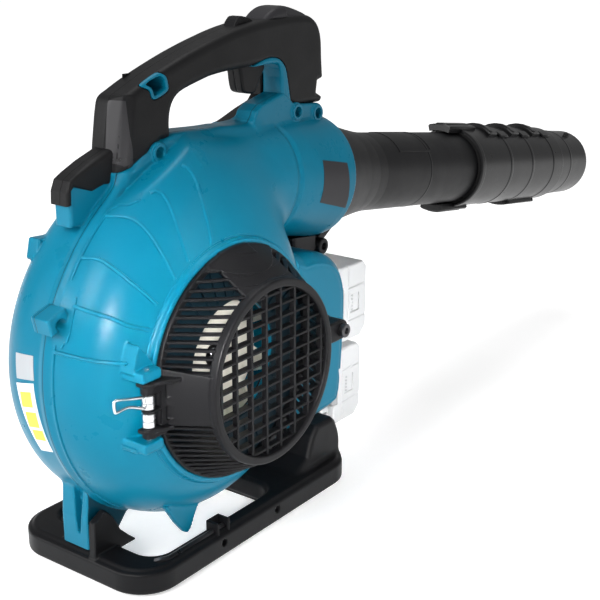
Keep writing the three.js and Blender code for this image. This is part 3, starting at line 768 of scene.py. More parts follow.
def hinge_seat(P, d):
    """The two brackets that carry the cover's hinge, and the room left for its knuckle."""
    for z0, z1 in ((182, 190), (128, 136)):
        d = smin(d, brick(P, -2, 17, -84, -52, z0, z1, 1.2), 1.5)
    for gusset in ([(-3, 187), (18, 188), (16, 193), (4.5, 207.8), (2.5, 205)],
                   [(-3, 131), (16, 131), (8, 124), (-2, 127)]):
        d = smin(d, slab(P, gusset, -75.5, -60, 0.8), 1.0)
    d = smax(d, -rod_z(P, HINGE_X, HINGE_Y, 5.6, HINGE_LOW - 2, HINGE_HIGH + 2, 0.3), 0.5)
    return smax(d, -brick(P, -6, 20, -90, -70, HINGE_LOW - 1.8, HINGE_HIGH + 1.8, 1), 0.8)


def housing_field(P):
    y, z = P[:, 1], P[:, 2]
    d = smin(scroll_field(P), duct_field(P), 24)
    d = smin(d, extrude(np.abs(from_axis(P) - 94.6) - 2.3, y + 71, 5.0, 1.4), 2.5)
    shoulder = z - 303 - 0.5 * (P[:, 0] - 58)
    d = smax(d, np.minimum(shoulder, -GRIP - 0.9 - y), 4)
    d = hinge_seat(P, bosses_and_lugs(P, rear_leg(P, upper_blocks(P, d))))
    d = smax(d, -rod_y(P, FAN_X, FAN_Z, 84, -67, 13, 2), 3)
    d = smax(d, -rod_y(P, FAN_X, FAN_Z, 49, -120, -60, 1), 2)
    d = smax(d, -rod_y(P, FAN_X, FAN_Z, 90.6, -90, -72.4, 0.3), 0.5)
    fin = [(45, 58), (57, 39), (66, 27.5), (70.3, 25), (73.5, 27), (82, 42.3), (88.5, 56)]
    return smin(d, slab(P, fin, -55.5, -50.5, 0.8), 1.5)


mould("housing_shell", housing_field, (-40, -90, 6), (308, 62, 355), TEAL, slot="teal_plastic",
      stands_for=["housing_right", "housing_left"])


# Raised lines of the moulding, visual only: ribs over the shoulder, edges of the rim, a lip round the intake.
RIB_LINES = [
    [(87.8, -71, 260.7), (92, -65, 275), (94.7, -58, 292.5), (97.6, -50, 306), (97, -44, 315),
     (93.4, -40.4, 318.3)],
    [(63.2, -70, 254), (63.8, -62.4, 272.8), (66.1, -53, 289.6), (66.8, -46, 300.4), (63.8, -42, 304),
     (58.8, -39, 303.8)],
    [(48.6, -70, 243.9), (44.7, -60, 265.4), (42.9, -52.7, 275.7), (41.2, -45, 282.9), (38.7, -37.6, 286.7),
     (32.5, -24, 287.4), (30.5, -19.5, 287.2)],
    [(30.1, -69.2, 229.6), (21.3, -61.8, 241.6), (12.9, -46.5, 255.6), (10, -35, 261.6), (6.4, -23.6, 261.9),
     (5.5, -20, 261.9)],
    [(21.3, -70, 213.5), (7.6, -64, 219.1), (-1.9, -54.5, 225.6), (-9.4, -42.8, 229.7), (-13.3, -29, 232.7)],
    [(7.4, -71, 192), (-8.5, -59, 195), (-19.2, -45.6, 197.6), (-25.8, -27.6, 200), (-26.4, -20, 200)],
]
raised = Mesh()
for line in RIB_LINES:
    raised.bead(housing_field, curve(line, 8), 3.0, 1.7)


def rim_line(y, start, stop):
    """Points just inside the rim between two angles above the front, at one Y."""
    angles = np.radians(np.arange(start, stop, 3, dtype=float))
    reach = spiral_radius((-np.degrees(angles)) % 360) - 4.0
    return [(FAN_X + r * cos(a), y, FAN_Z + r * sin(a)) for a, r in zip(angles, reach)]


shoulder_edge = [(52, -36, 298.3), (44.5, -31.2, 294.4), (41, -24, 294.4)]
raised.bead(housing_field, shoulder_edge + rim_line(-19.8, 120, 147), 2.2, 1.2)
raised.bead(housing_field, rim_line(-20.5, 163, 238), 2.2, 1.1)
pad = rounded([(-11, 237), (-8, 229), (-13, 211), (-19, 205), (-25, 207)], 5)[:20]
raised.bead(housing_field, [(px, -29 if i < 14 else -27, pz) for i, (px, pz) in enumerate(pad)], 1.8, 1.0)
for bx, bz in REAR_BOSSES:
    raised.lathe([(4.6, -19.2), (4.8, -20.6), (6.6, -20.6), (6.9, -19.2)], along_y(bx, bz), 40)
lip = [(FAN_X + 98.6 * cos(a), -70, FAN_Z + 98.6 * sin(a)) for a in np.radians(np.arange(0, 360, 3))]
raised.bead(housing_field, lip, 1.6, 0.8, closed=True)
raised.put("housing_raised_lines", TEAL_PART, slot="teal_plastic")


# ---- handle -------------------------------------------------------------------------
HANDLE = curve([(50.5, 313), (52.5, 330), (55, 345), (57.5, 358), (61, 367), (71, 372), (84, 377.5),
                (100, 383.5), (124, 391.5), (141, 396.5), (160, 401.5), (189, 408), (220, 412.3),
                (255, 414.6), (281, 414.4), (293, 411.3), (301, 404.5), (305.5, 393), (306.8, 375),
                (308.5, 358)], 4)
HANDLE += [(300.5, 356), (299, 347), (308, 342.5), (305, 337.3), (262, 337.6), (256, 341), (240, 320),
           (110, 320), (107, 331.5), (97, 331), (85, 324), (84.5, 320.7), (64, 314)]
WINDOW = curve([(110, 324), (108.6, 336), (109, 348), (112, 357), (118, 363), (127, 366.8), (146, 371.3),
                (160, 374), (182, 375.8), (205, 376.5), (236, 377.5), (242.5, 374), (244.5, 366)], 3)
WINDOW += [(245, 345), (208, 326), (180, 310)]
TONGUE = curve([(182, 374), (196, 373.5), (209, 377.5), (222, 381.5), (233, 382.4), (243, 380), (250.5, 373),
                (254, 362), (256.8, 349), (259.6, 339)], 4)
EYELET = rounded([(78.5, 374.5), (84, 378.5), (91, 381), (98, 382.5), (103, 379), (105, 372.5), (103.5, 368),
                  (91.5, 363.8), (87.3, 365), (85, 370.5)], 3)
NEAR_EDGE = 4.0  # the teal front post ends at this Y


def handle_field(P):
    x, y, z = P.T
    outline = polygon(HANDLE, x, z)
    window = polygon(WINDOW, x, z)
    teal = polygon(TONGUE + [(259.6, 320), (150, 320), (180, 372)], x, z)
    shape = smax(outline, -window, 3)
    d = extrude(shape, y, GRIP, 7)
    ledge = 370.5 - z - 0.02 * np.square(np.maximum(x - 62, 0))
    d = smax(d, smin(corner_facet(P), ledge, 3), 0.8)
    roof = np.minimum(outline + 3.0, y + GRIP - 5)
    d = smax(d, -extrude(smax(polygon(EYELET, x, z) - 0.2, roof, 0.5), y, 30, 0.5), 1)
    d = smax(d, -np.maximum(teal - 0.2, y - NEAR_EDGE - 0.2), 0.6)
    return d + 0.6 * bump(z - 322.5, 0.9) * ramp(-x, -68, -64)


mould("handle_grip", handle_field, (46, -20, 308), (312, 20, 418), GRIP_BLACK, step=FINE * 0.85,
      slot="black_plastic", stands_for=["handle_grip_right", "handle_grip_left"])


def post_field(P):
    x, y, z = P.T
    outline = polygon(TONGUE + [(259.6, 325), (200, 325)], x, z)
    near_line = [(243.5, 372), (244.8, 365), (244.5, 352), (244.4, 340.7), (234.8, 336.7),
                 (223.8, 331.3), (209, 329), (150, 320), (150, 372)]
    shape = smax(outline, -polygon(WINDOW, x, z), 1.5)
    shape = smax(shape, -polygon(near_line, x, z), 1.0)
    return between(shape, y, -SHELL, NEAR_EDGE, 2.2)


mould("handle_front_post_teal", post_field, (178, -20, 322), (264, 8, 386), TEAL_PART, step=1.1,
      slot="teal_plastic", stands_for=["handle_front_post"])


def eyelet_field(P):
    x, y, z = P.T
    e = polygon(EYELET, x, z)
    outline = polygon(HANDLE, x, z)
    ring = extrude(smax(e, -(e + 2.6), 1.0), y, GRIP + 0.8, 0.8)
    ring = smax(ring, extrude(outline, y, GRIP, 7) - 0.8, 0.8)
    return smax(ring, np.minimum(outline + 3.2, y + GRIP - 5), 0.8)


mould("strap_eyelet", eyelet_field, (66, -20, 360), (110, 20, 390), TEAL_PART, step=0.9, slot="teal_plastic")
eyelet_back = Mesh()
eyelet_back.box(84, 104, 9, 10, 364, 381, 0.2)
eyelet_back.put("strap_eyelet_back", BLACK)

LINER = [(176, 324.5), (204, 333), (221, 338.8), (239, 344), (243.8, 349), (243.8, 372), (248.5, 374),
         (248.5, 343), (241, 338.5), (222, 333), (206, 327), (190, 320)]


def liner_field(P):
    return slab(P, LINER, NEAR_EDGE + 0.3, GRIP - 0.6, 1.2)


mould("window_liner", liner_field, (172, 2, 316), (252, 20, 378), BLACK, step=1.1, slot="black_plastic")


def trigger_field(P):
    outline = rounded([(202, 384), (202.5, 370), (204.5, 359.5), (208, 355), (218.5, 353.2), (223.5, 357),
                       (229, 366), (234, 374), (226, 384)], 3)
    return slab(P, outline, -8, 8, 2.4) + 0.5 * bump(P[:, 1], 1.2)


mould("trigger_lever", trigger_field, (198, -10, 350), (238, 10, 387), BLACK, step=0.9, body="trigger",
      slot="black_plastic", stands_for=["trigger"])


def lever_field(P):
    outline = [(194, 404), (198.5, 412.5), (203, 416.6), (208, 416.8), (216, 415), (221.5, 412.3),
               (223.5, 406), (220, 401), (212, 402)]
    grooves = bump((P[:, 0] + 1.2 * P[:, 2]) % 3.2 - 1.6, 0.7) * ramp(P[:, 2], 412.5, 414)
    return slab(P, outline, -6.5, 6.5, 1.6) + 0.5 * grooves


mould("cruise_lever_cap", lever_field, (190, -8, 400), (230, 8, 419), BLACK, step=0.8, body="cruise_lever",
      slot="black_plastic", stands_for=["cruise_lever"])

DOME = curve([(228.5, 411), (231, 414), (238, 418.8), (247, 422), (259, 422.6), (270, 420.8), (280, 417.4),
              (288, 413.5), (292, 408)], 5)


def dome_field(P):
    x, y, z = P.T
    d = extrude(polygon(DOME, x, z), y, 14, 6)
    cut = z - 413 - 0.9 * (y + 14) + 0.12 * (x - 262) - 1.5
    return smax(d, np.minimum(cut, x - 257), 1.5)


mould("handle_dome_cap", dome_field, (224, -16, 405), (296, 16, 425), CHARCOAL, step=1.0,
      slot="charcoal_plastic", stands_for=["handle_dome"])

# Painted highlight: a thin plate in the lighter black laid on the rear post's chamfer.
plate_on(handle_field, "rear_post_painted_highlight", [(50.5, -2.5, 322), (56, 0, 366), (64, -13, 365), (65, -17, 316)],
         FACET_PAINTED_HIGHLIGHT, lift=0.3, cells=(40, 16))

BUMPER = [(7.2, 296), (7.8, 306), (11.5, 314), (19, 318), (33, 324.2), (50, 330), (56, 331.5), (56, 305),
          (44, 306), (32, 303), (15, 309), (12.4, 306.6), (11.8, 296)]


def bumper_field(P):
    x, y, z = P.T
    d = slab(P, BUMPER, -7.8, 11, 2)
    return smax(d, 0.78 * (z - 314.7 - 0.34 * (x - 12)) - 0.62 * (y + 7.5), 1.5)


mould("rear_bumper_cap", bumper_field, (0, -17, 290), (62, 18, 338), GRIP_BLACK, step=1.0,
      slot="black_plastic", stands_for=["rear_bumper"])


screws = Mesh()
SCREW_R = 3.4
for y, places in ((-13.0, REAR_BOSSES), (-17, RIM_BOSSES)):
    profile = [(0, y + 2), (SCREW_R, y + 2), (SCREW_R, y), (SCREW_R - 0.5, y - 0.5), (1.6, y - 0.5),
               (1.5, y + 1), (0, y + 1)]
    for bx, bz in places:
        screws.lathe(profile, along_y(bx, bz), 24, close=False)
screws.put("housing_screw_heads", STEEL, slot="steel",
           stands_for=sorted(n for n in frame["nodes"] if n.startswith("housing_screw_")))

# ---- intake cover -------------------------------------------------------------------
FACE_R, FACE_Y, BASE_R = 72.0, -114.0, 91.6  # the grille's round face and the cone's base
BAR_X, BAR_Z = 17.5, 10.2  # spacing of the grille's upright and level bars
ROLLERS = ((160.6, 171.4), (146.6, 157.4))  # heights of the two hinge rollers


def cone_radius(y):
    return FACE_R + 1 + (BASE_R - FACE_R - 1) * np.clip((y + 110) / (110 - 79), 0, 1)


def cover_cone(P):
    """The face ring, the base ring, and the closed parts of the cone between them."""
    x, y, z = P.T
    rho, height = from_axis(P), z - FAN_Z
    ring = extrude(np.abs(rho - 69.3) - 3.4, y + 111.2, 4.0, 1.8)
    foot = extrude(np.abs(rho - 89.6) - 2.9, y + 75.8, 3.2, 1.2)
    skin = extrude(np.abs((rho - cone_radius(y) + 1.4) * 0.87) - 1.5, y + 92.5, 20, 0.8)
    crown = np.minimum(82 - height, np.maximum(np.maximum(80 - x, x - 140), 40 - height))
    eave = np.maximum(24.5 - 0.282 * (x - 14), 15)
    wall = np.maximum(np.maximum(height - eave, -21.5 - height), x - 60)
    d = smin(np.minimum(ring, foot), smax(skin, np.minimum(crown, wall), 1.0), 1.0)
    lens = height - 78 - 0.0045 * np.square(x - 109)
    raised_disc = np.minimum(ramp(lens, -0.7, 0.7), ramp(x, 73, 75))
    second = np.minimum(ramp(height - 90 + 0.12 * (x - 100), -0.6, 0.6), ramp(121 - x, -0.7, 0.7))
    return d - 0.9 * raised_disc * (rho < 96) - 0.7 * second * (rho < 96) * (height > 60)


def hinge_arm(P):
    """The block that joins the cone to the hinge, with its four pockets."""
    x, y = P[:, 0], P[:, 1]
    arm = brick(P, HINGE_X + 7, FAN_X - 56, -102, -76, 145, 180, 2.2)
    arm = smax(arm, (-y - 84) * 0.8 - (x - (HINGE_X + 12)) * 0.42, 2)
    arm = smax(arm, 68 - from_axis(P), 1)
    for z0, z1 in ((165.5, 176.5), (148.5, 159.5)):
        arm = smax(arm, -brick(P, HINGE_X + 12, HINGE_X + 21, -120, -79, z0, z1, 1), 0.8)
        arm = smax(arm, -brick(P, HINGE_X + 22.5, HINGE_X + 29, -120, -84, z0, z1, 1.2), 0.8)
    return arm


def hinge_flange(P, z0, z1, reach):
    flange = brick(P, HINGE_X - 7, HINGE_X + reach, -93, -74, z0, z1, 1.0)
    return smax(flange, (-P[:, 1] - 86) * 0.8 - (P[:, 0] - (HINGE_X + 4)) * 0.42, 1)


def hinge_knuckle(P):
    """The cover's half of the hinge, cut away for the rollers and the pin."""
    knuckle = rod_z(P, HINGE_X, HINGE_Y, 5, HINGE_LOW, HINGE_HIGH, 0.6)
    knuckle = smin(knuckle, brick(P, HINGE_X, HINGE_X + 14, -84, -74, HINGE_LOW, HINGE_HIGH, 1), 1)
    for z0, z1 in ROLLERS:
        gap = brick(P, HINGE_X - 10, HINGE_X + 8.5, -100, -60, z0 - 0.6, z1 + 0.6, 0.5)
        knuckle = smax(knuckle, -gap, 0.4)
    return smax(knuckle, -rod_z(P, HINGE_X, HINGE_Y, 2.3, 120, 200, 0.1), 0.2)


def lock_lug(P):
    """The eye that the lock bolt goes through."""
    x, z = P[:, 0], P[:, 2]
    lug = brick(P, FAN_X + 82, LOCK_X + 9, -88, -73, LOCK_Z - 9, LOCK_Z + 9, 2)
    lug = smax(lug, np.hypot(x - LOCK_X, z - LOCK_Z) * (x > LOCK_X) - 9, 1)
    lug = smax(lug, -rod_y(P, LOCK_X, LOCK_Z, 3.5, -95, -60, 0.2), 0.5)
    return smax(lug, 84 - from_axis(P), 1)


def cover_field(P):
    d = smin(cover_cone(P), hinge_arm(P), 2)
    d = smin(d, hinge_flange(P, 178, 181, 34), 1.0)
    d = smin(d, hinge_flange(P, 142.5, 145.5, 14), 1.0)
    return smin(smin(d, hinge_knuckle(P), 1), lock_lug(P), 2)


mould("intake_frame", cover_field, (-4, -118, 66), (250, -68, 262), BLACK, step=FINE * 0.7,
      body="intake_cover", slot="black_plastic", stands_for=["intake_cover"])


def slat_path(height, side):
    """A line along the cone at one height, from the base ring to the face ring."""
    path = []
    for i in range(13):
        y = -78 - (110 - 78) * i / 12
        r = float(cone_radius(np.array([y]))[0])
        if r > abs(height):
            path.append((side * (r * r - height * height) ** 0.5, y))
    return path


SLAT = [(-1.05, 0.9), (-0.6, 0.2), (0.6, 0.2), (1.05, 0.9), (1.05, 4.6), (-1.05, 4.6)]  # (up, inwards)
SLATS, TOP_SLAT, SLAT_PITCH = 33, 82, 5.3
CLOSED_LOW, CLOSED_HIGH = -22.5, 16  # no slats at the rear between these, where the cone is closed
slats = Mesh()
for i in range(SLATS):
    height = TOP_SLAT - SLAT_PITCH * i
    for side in (-1, 1):
        if side < 0 and CLOSED_LOW < height < CLOSED_HIGH:
            continue
        path = slat_path(height, side)
        if abs(height) > FACE_R:
            path = path + [(-a, b) for a, b in slat_path(height, side)[::-1]]
            if side > 0:
                continue
        if len(path) < 2:
            continue
        verts = []
        for a, b in path:
            rho = hypot(a, height)
            for up, deep in SLAT:
                k = (rho - deep) / rho
                verts.append((FAN_X + a * k, b + deep * 0.5, FAN_Z + height + up))
        n = len(SLAT)
        faces = []
        for j, m in product(range(len(path) - 1), range(n)):
            q = (m + 1) % n
            faces.append((j * n + m, j * n + q, (j + 1) * n + q, (j + 1) * n + m))
        slats.add(verts, faces)
slats.put("intake_slats", BLACK, body="intake_cover", slot="black_plastic")

REACH = 68.0  # the grille's bars end inside the face ring
grid = Mesh()
for i in range(8):
    x = FAN_X + (i - 3.5) * BAR_X
    half = (REACH ** 2 - (x - FAN_X) ** 2) ** 0.5
    grid.box(x - 1.15, x + 1.15, FACE_Y + 1.4, FACE_Y + 6.4, FAN_Z - half, FAN_Z + half, 0.5)
for i in range(13):
    z = FAN_Z + (i - 6) * BAR_Z
    half = (REACH ** 2 - (z - FAN_Z) ** 2) ** 0.5
    grid.box(FAN_X - half, FAN_X + half, FACE_Y + 2.0, FACE_Y + 8.2, z - 1.0, z + 1.0, 0.45)
grid.put("intake_grid", BLACK, body="intake_cover", slot="black_plastic")

# A thin ribbed sheet laid over the housing's teal inlet wall, in the painted-shade teal, so the inside of the
# intake reads as shaded.
INLET_RIBS = 36
inlet = Mesh()
inlet.lathe([(49.6, -66), (49.2, -72.6), (50.2, -73.4), (86, -73.4), (89.6, -72.9), (89.6, -72), (51, -72),
             (50.6, -66)], along_y(FAN_X, FAN_Z), 96)
for i in range(INLET_RIBS):
    inlet.box(54, 86, -75, -73.2, -0.6, 0.6, 0.2, turn=around_fan(2 * pi * i / INLET_RIBS))
inlet.put("inlet_wall_painted_shade", TEAL_INLET_PAINTED_SHADE)

rollers = Mesh()
for z0, z1 in ROLLERS:
    mid = (z0 + z1) / 2
    profile = [(2.2, z0), (4.4, z0), (4.9, z0 + 0.5), (4.9, mid - 0.8), (4.6, mid - 0.5), (4.6, mid + 0.5),
               (4.9, mid + 0.8), (4.9, z1 - 0.5), (4.4, z1), (2.2, z1)]
    rollers.lathe(profile, along_z(HINGE_X, HINGE_Y), 40)
rollers.put("hinge_rollers", ZINC, slot="steel", stands_for=["hinge_roller_upper", "hinge_roller_lower"])

wire = Mesh()
loop = [(1.2, -81.4, 172.0), (-2.4, -82, 172.7), (-13.6, -82, 175.4), (-27, -84, 179.6), (-30.5, -84, 178.9),
        (-30.2, -84, 172.2), (-28.1, -84, 170.8), (-15.6, -82, 169.7), (-2, -82, 164.5), (1.2, -81.4, 163.4)]
wire.tube(curve(loop, 5), 1.05, 12)
wire.put("hinge_wire", ZINC, slot="steel", stands_for=["cover_spring"])

bolt = Mesh()
bolt.lathe([(0, -67.5), (2.8, -67.5), (2.8, -88.3), (5.6, -88.3), (6, -88.9), (6, -92.3), (5.4, -93),
            (3.0, -93), (2.6, -90.6), (0, -90.6)], along_y(LOCK_X, LOCK_Z), 40, close=False)
bolt.put("lock_bolt_head", STEEL, body="lock_bolt", slot="steel", stands_for=["cover_lock_bolt"])

# ---- fan ----------------------------------------------------------------------------
BLADES = 11


def fan_field(P):
    y = P[:, 1]
    rho = from_axis(P)
    hub = smax(rho - (12 + 22 * ramp(y, -48, 6)), -47 - y, 2)
    hub = smax(hub, y - 12, 1)
    plate = extrude(rho - 79, y - 10, 2, 0.8)
    d = smin(hub, plate, 4)
    lead = np.radians(-turn_of(P)) + 0.0085 * (rho - 30) + 0.006 * (y + 50)
    off = ((lead * BLADES / (2 * pi) + 0.5) % 1 - 0.5) * 2 * pi / BLADES * rho
    blade = np.abs(off * 0.78) - 1.2
    blade = smax(blade, extrude(np.abs(rho - 50) - 29.5, y + 20.5, 31, 1), 0.5)
    d = smin(d, blade, 2)
    d = smin(d, extrude(np.abs(rho - 30) - 18, y + 52.5, 1.6, 0.8), 1.5)
    return smax(d, -rod_y(P, FAN_X, FAN_Z, 10, -70, -46, 0.5), 0.5)


mould("impeller", fan_field, (26, -56, 80), (194, 16, 248), CREAM, step=FINE * 0.8, body="fan",
      slot="cream_plastic", stands_for=["fan"])

nut = Mesh()
nut.lathe([(0, -50), (9.6, -50), (9.6, -55), (8.8, -56), (5, -56), (4.4, -55.4), (0, -55.4)],
          along_y(FAN_X, FAN_Z), 6, close=False)
nut.put("impeller_nut", STEEL, body="fan", slot="steel")


# ---- battery box, packs and bracket ---------------------------------------------------
def design_box(node):
    """A CAD node's two corners in design millimetres."""
    return [(c - Vector(ORIGIN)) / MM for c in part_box(node)]


PACKS = {name: design_box(f"battery_{name}") for name in ("upper", "lower")}
BOX = [(214, 70), (226, 61), (250, 57.5), (283, 60), (292, 70), (296, 90), (298.5, 120), (300, 150),
       (299.5, 172), (294, 190), (282, 204), (262, 213), (236, 216), (214, 210)]


def box_field(P):
    x, y, z = P.T
    outline = rounded(BOX, 3)
    d = smax(slab(P, outline, -52, 82, 15), 107 - from_axis(P), 2)
    for lo, hi in PACKS.values():
        d = smax(d, -brick(P, lo.x + 8.4, hi.x + 20, -60, hi.y + 3, lo.z - 1.5, hi.z + 1.5, 2), 1.5)
        d = smax(d, -brick(P, lo.x - 1, hi.x, -60, hi.y, lo.z + 9, hi.z - 9, 1), 1)
    d = smin(d, rod_y(P, LOCK_X, LOCK_Z, 13, -62, -40, 2), 5)
    d = smax(d, -rod_y(P, LOCK_X, LOCK_Z, 10.3, -80, -48, 0.3), 0.5)
    rib = bump(polygon(outline, x, z) + 9, 2.2) * ramp(-y, 47, 50)
    return d - 0.8 * rib


mould("battery_case", box_field, (205, -66, 52), (306, 86, 222), TEAL, step=FINE,
      slot="teal_plastic", stands_for=["battery_box"])

boss = Mesh()
boss.lathe([(3.7, -51), (9.6, -51), (9.8, -51.6), (9.8, -70.8), (9, -72), (4.6, -72), (3.7, -71)],
           along_y(LOCK_X, LOCK_Z), 48)
boss.put("lock_boss_sleeve", BLACK, slot="black_plastic", stands_for=["cover_lock_boss"])


PACK_STEP = 9.3  # the pack's body starts this far ahead of its rails


def pack_field(lo, hi):
    def field(P):
        x, y, z = P.T
        near, left, right = lo.y, lo.x + PACK_STEP, hi.x
        mid = (lo.z + hi.z) / 2
        outline = [(left, lo.z + 2), (left + 3, lo.z), (right - 9, lo.z), (right, lo.z + 9),
                   (right, hi.z - 6), (right - 6, hi.z), (left + 3, hi.z), (left, hi.z - 2)]
        d = slab(P, outline, near, hi.y, 2.2)
        rails = brick(P, lo.x, left + 4, near + 6, near + 92, lo.z + 10, hi.z - 10, 1)
        rails = smax(rails, -brick(P, lo.x + 2, left - 2, near, near + 95, lo.z + 6, lo.z + 14, 0.8), 0.5)
        d = smin(d, rails, 1)
        for level in (mid - 17, mid + 15):
            d = d + 0.9 * bump(z - level, 1.5) * ramp(x, left + 15, left + 17)
        d = d + 0.8 * bump(x - left - 15, 1.3) * ramp(near + 6 - y, 0, 3)
        d = smax(d, -brick(P, left - 4, left + 8.2, near - 3, near + 7, lo.z + 20, hi.z - 20, 1), 0.6)
        window = extrude(np.maximum(np.abs(x - left - 26) - 7, np.abs(z - mid + 1) - 9), y - near, 0.9, 0.3)
        return smax(d, -window, 0.3)
    return field


def pack_lights(name, left, near, mid):
    """The pack's column of five charge lights."""
    marks = Mesh()
    for i in range(5):
        marks.lathe([(0, near + 0.2), (1.1, near + 0.2), (1.1, near + 0.9), (0, near + 0.9)],
                    along_y(left + 22.5, mid + 6 - 3.4 * i), 14, close=False)
    marks.put(f"battery_{name}_lights", PACK_DARK, body=f"battery_{name}")


def pack_button(name, left, near, lo, hi):
    """The ribbed release button in the pack's recess."""
    push = Mesh()
    push.box(left - 3.6, left + 7.6, near - 0.4, near + 3.4, lo.z + 20.7, hi.z - 20.7, 0.9)
    for i in range(5):
        z = (lo.z + hi.z) / 2 - 10 + 5 * i
        push.box(left - 2.4, left + 6.4, near - 0.9, near + 0.2, z - 0.7, z + 0.7, 0.3)
    push.put(f"battery_{name}_button_cap", PACK_DARK, body=f"button_{name}", slot="charcoal_plastic",
             stands_for=[f"battery_button_{name}"])


MARGIN = Vector((2, 2, 2))
for name, (lo, hi) in PACKS.items():
    mould(f"battery_{name}_pack", pack_field(lo, hi), tuple(lo - MARGIN), tuple(hi + MARGIN), PACK,
          step=FINE * 0.75, body=f"battery_{name}", slot="battery_plastic", stands_for=[f"battery_{name}"])
    pack_lights(name, lo.x + PACK_STEP, lo.y, (lo.z + hi.z) / 2)
    pack_button(name, lo.x + PACK_STEP, lo.y, lo, hi)


def bracket_field(P):
    along, across, above = tube_frame(P).T
    pad = slab(P, [(262, 204), (268, 200), (290, 199), (297, 204), (297, 222), (262, 224)], -17, 14, 3)
    strut = slab(P, [(284, 200), (304, 196.5), (312, 201), (346, 221), (338, 230), (284, 228)], -8, 8, 1.5)
    strut = smax(strut, -slab(P, [(300, 210), (309, 209), (329, 221), (300, 224)], -20, -4, 1), 0.8)
    d = smin(pad, strut, 3)
    d = smin(d, rod_y(P, 304.7, 205, 7.6, -20, -8, 1.5), 1.5)
    d = smax(d, -rod_y(P, 304.7, 205, 3.4, -30, -14, 0.4), 0.6)
    reach = np.hypot(across, above)
    return smax(d, np.where(along < DUCT_END + 0.5, 56.4, flare_radius(along)) - reach, 0.6)


def flare_radius(along):
    """The tube's radius where it narrows from the duct."""
    return np.interp(along, [300, 306, 330, 352, 372, 388], [52.4, 50.5, 46.2, 42.3, 39.4, TUBE_R])


mould("duct_bracket", bracket_field, (256, -24, 190), (352, 18, 236), BLACK, step=0.9,
      slot="black_plastic", stands_for=["tube_bracket"])

# ---- blowing tube and nozzle ------------------------------------------------------------
tube = Mesh()
outer = [(52.4, 297.5)]
outer += [(float(flare_radius(x)), x) for x in (303, 306, 312, 320, 330, 340, 352, 362, 372, 380, 388)]
outer += [(TUBE_R, 470), (38.35, 470.4), (38.35, 472), (TUBE_R, 472.4), (TUBE_R, 560), (TUBE_R, 752)]
bore = [(50, 297.5), (48.3, 306), (37, 372), (35.8, 388), (35.6, 752)]
tube.lathe(outer + bore[::-1], along_tube, 96)
for x in (596, 612):
    tube.lathe([(38, x), (38.5, x + 0.3), (38.5, x + 1.4), (38, x + 1.7)], along_tube, 96)
tube.put("blowing_tube", BLACK, slot="black_plastic", stands_for=["main_tube"])


def on_tube(angle):
    """Lays a block drawn as (along, across, out) on the tube's skin at an angle from its top."""
    def place(v):
        along, across, out = v
        a = angle + across / 38.5
        return tuple(from_tube((along, -sin(a) * out, cos(a) * out)))
    return place


# A moulded frame line on the tube: two strips round it, in short blocks, and two along it.
MARK_START, MARK_END, MARK_HALF, MARK_LINE, MARK_BLOCKS = 416, 478, 22, 2, 10
mark = Mesh()
mark_place = on_tube(radians(22))
strips = [(MARK_START, MARK_END, -MARK_HALF, MARK_LINE - MARK_HALF),
          (MARK_START, MARK_END, MARK_HALF - MARK_LINE, MARK_HALF)]
for x in (MARK_START, MARK_END - MARK_LINE):
    for i in range(MARK_BLOCKS):
        block = 2 * MARK_HALF / MARK_BLOCKS
        strips.append((x, x + MARK_LINE, i * block - MARK_HALF, (i + 1) * block - MARK_HALF))
for x0, x1, y0, y1 in strips:
    mark.box(x0, x1, y0, y1, 37.6, 38.6, 0.25, turn=mark_place)
mark.put("tube_moulded_frame", BLACK)

sleeve = Mesh()
outer = [(42.4, 570), (43.6, 570.8), (44, 572), (44, 578), (43.4, 579), (43.4, 641), (43.9, 641.8),
         (43.9, 646), (43.4, 647), (43.4, 697), (43.9, 697.8), (43.9, 702), (43.4, 703), (43.4, 756),
         (44, 757), (44, 783.5), (43.2, 785.5), (40.6, 787.5), (40.1, 790), (39.9, 816), (40.3, 817),
         (40.3, 819), (39.9, 820), (39.6, 852), (39.5, 866), (38.9, 868.8), (37.8, 869.5)]
bore = [(41.4, 570), (41.4, 592), (38.7, 593), (38.7, 782), (36.6, 786), (36.6, 867), (37.0, 869.5)]
sleeve.lathe(outer + bore[::-1], along_tube, 128)


def skin_block(mesh, x0, x1, a0, a1, r0, r1, bevel=0.8, lean=0.0, steps=5):
    """A raised block on the sleeve between two angles from the top, in degrees."""
    def place(v):
        t, s, r = v
        a = radians(a0 + (a1 - a0) * s)
        x = x0 + (x1 - x0) * t + lean * (s - 0.5)
        return tuple(from_tube((x, -sin(a) * r, cos(a) * r)))
    rows = []
    bx, ba = bevel / (x1 - x0), bevel / (radians(abs(a1 - a0)) * r1)
    for t, tr in ((0, r0), (0, r1 - bevel), (bx, r1), (1 - bx, r1), (1, r1 - bevel), (1, r0)):
        row = [(t, 0, r0), (t, 0, min(tr, r1 - bevel))]
        row += [(t, ba + (1 - 2 * ba) * i / steps, tr) for i in range(steps + 1)]
        row += [(t, 1, min(tr, r1 - bevel)), (t, 1, r0)]
        rows.append([place(v) for v in row])
    mesh.add([v for row in rows for v in row], grid_quads(len(rows), len(rows[0])))


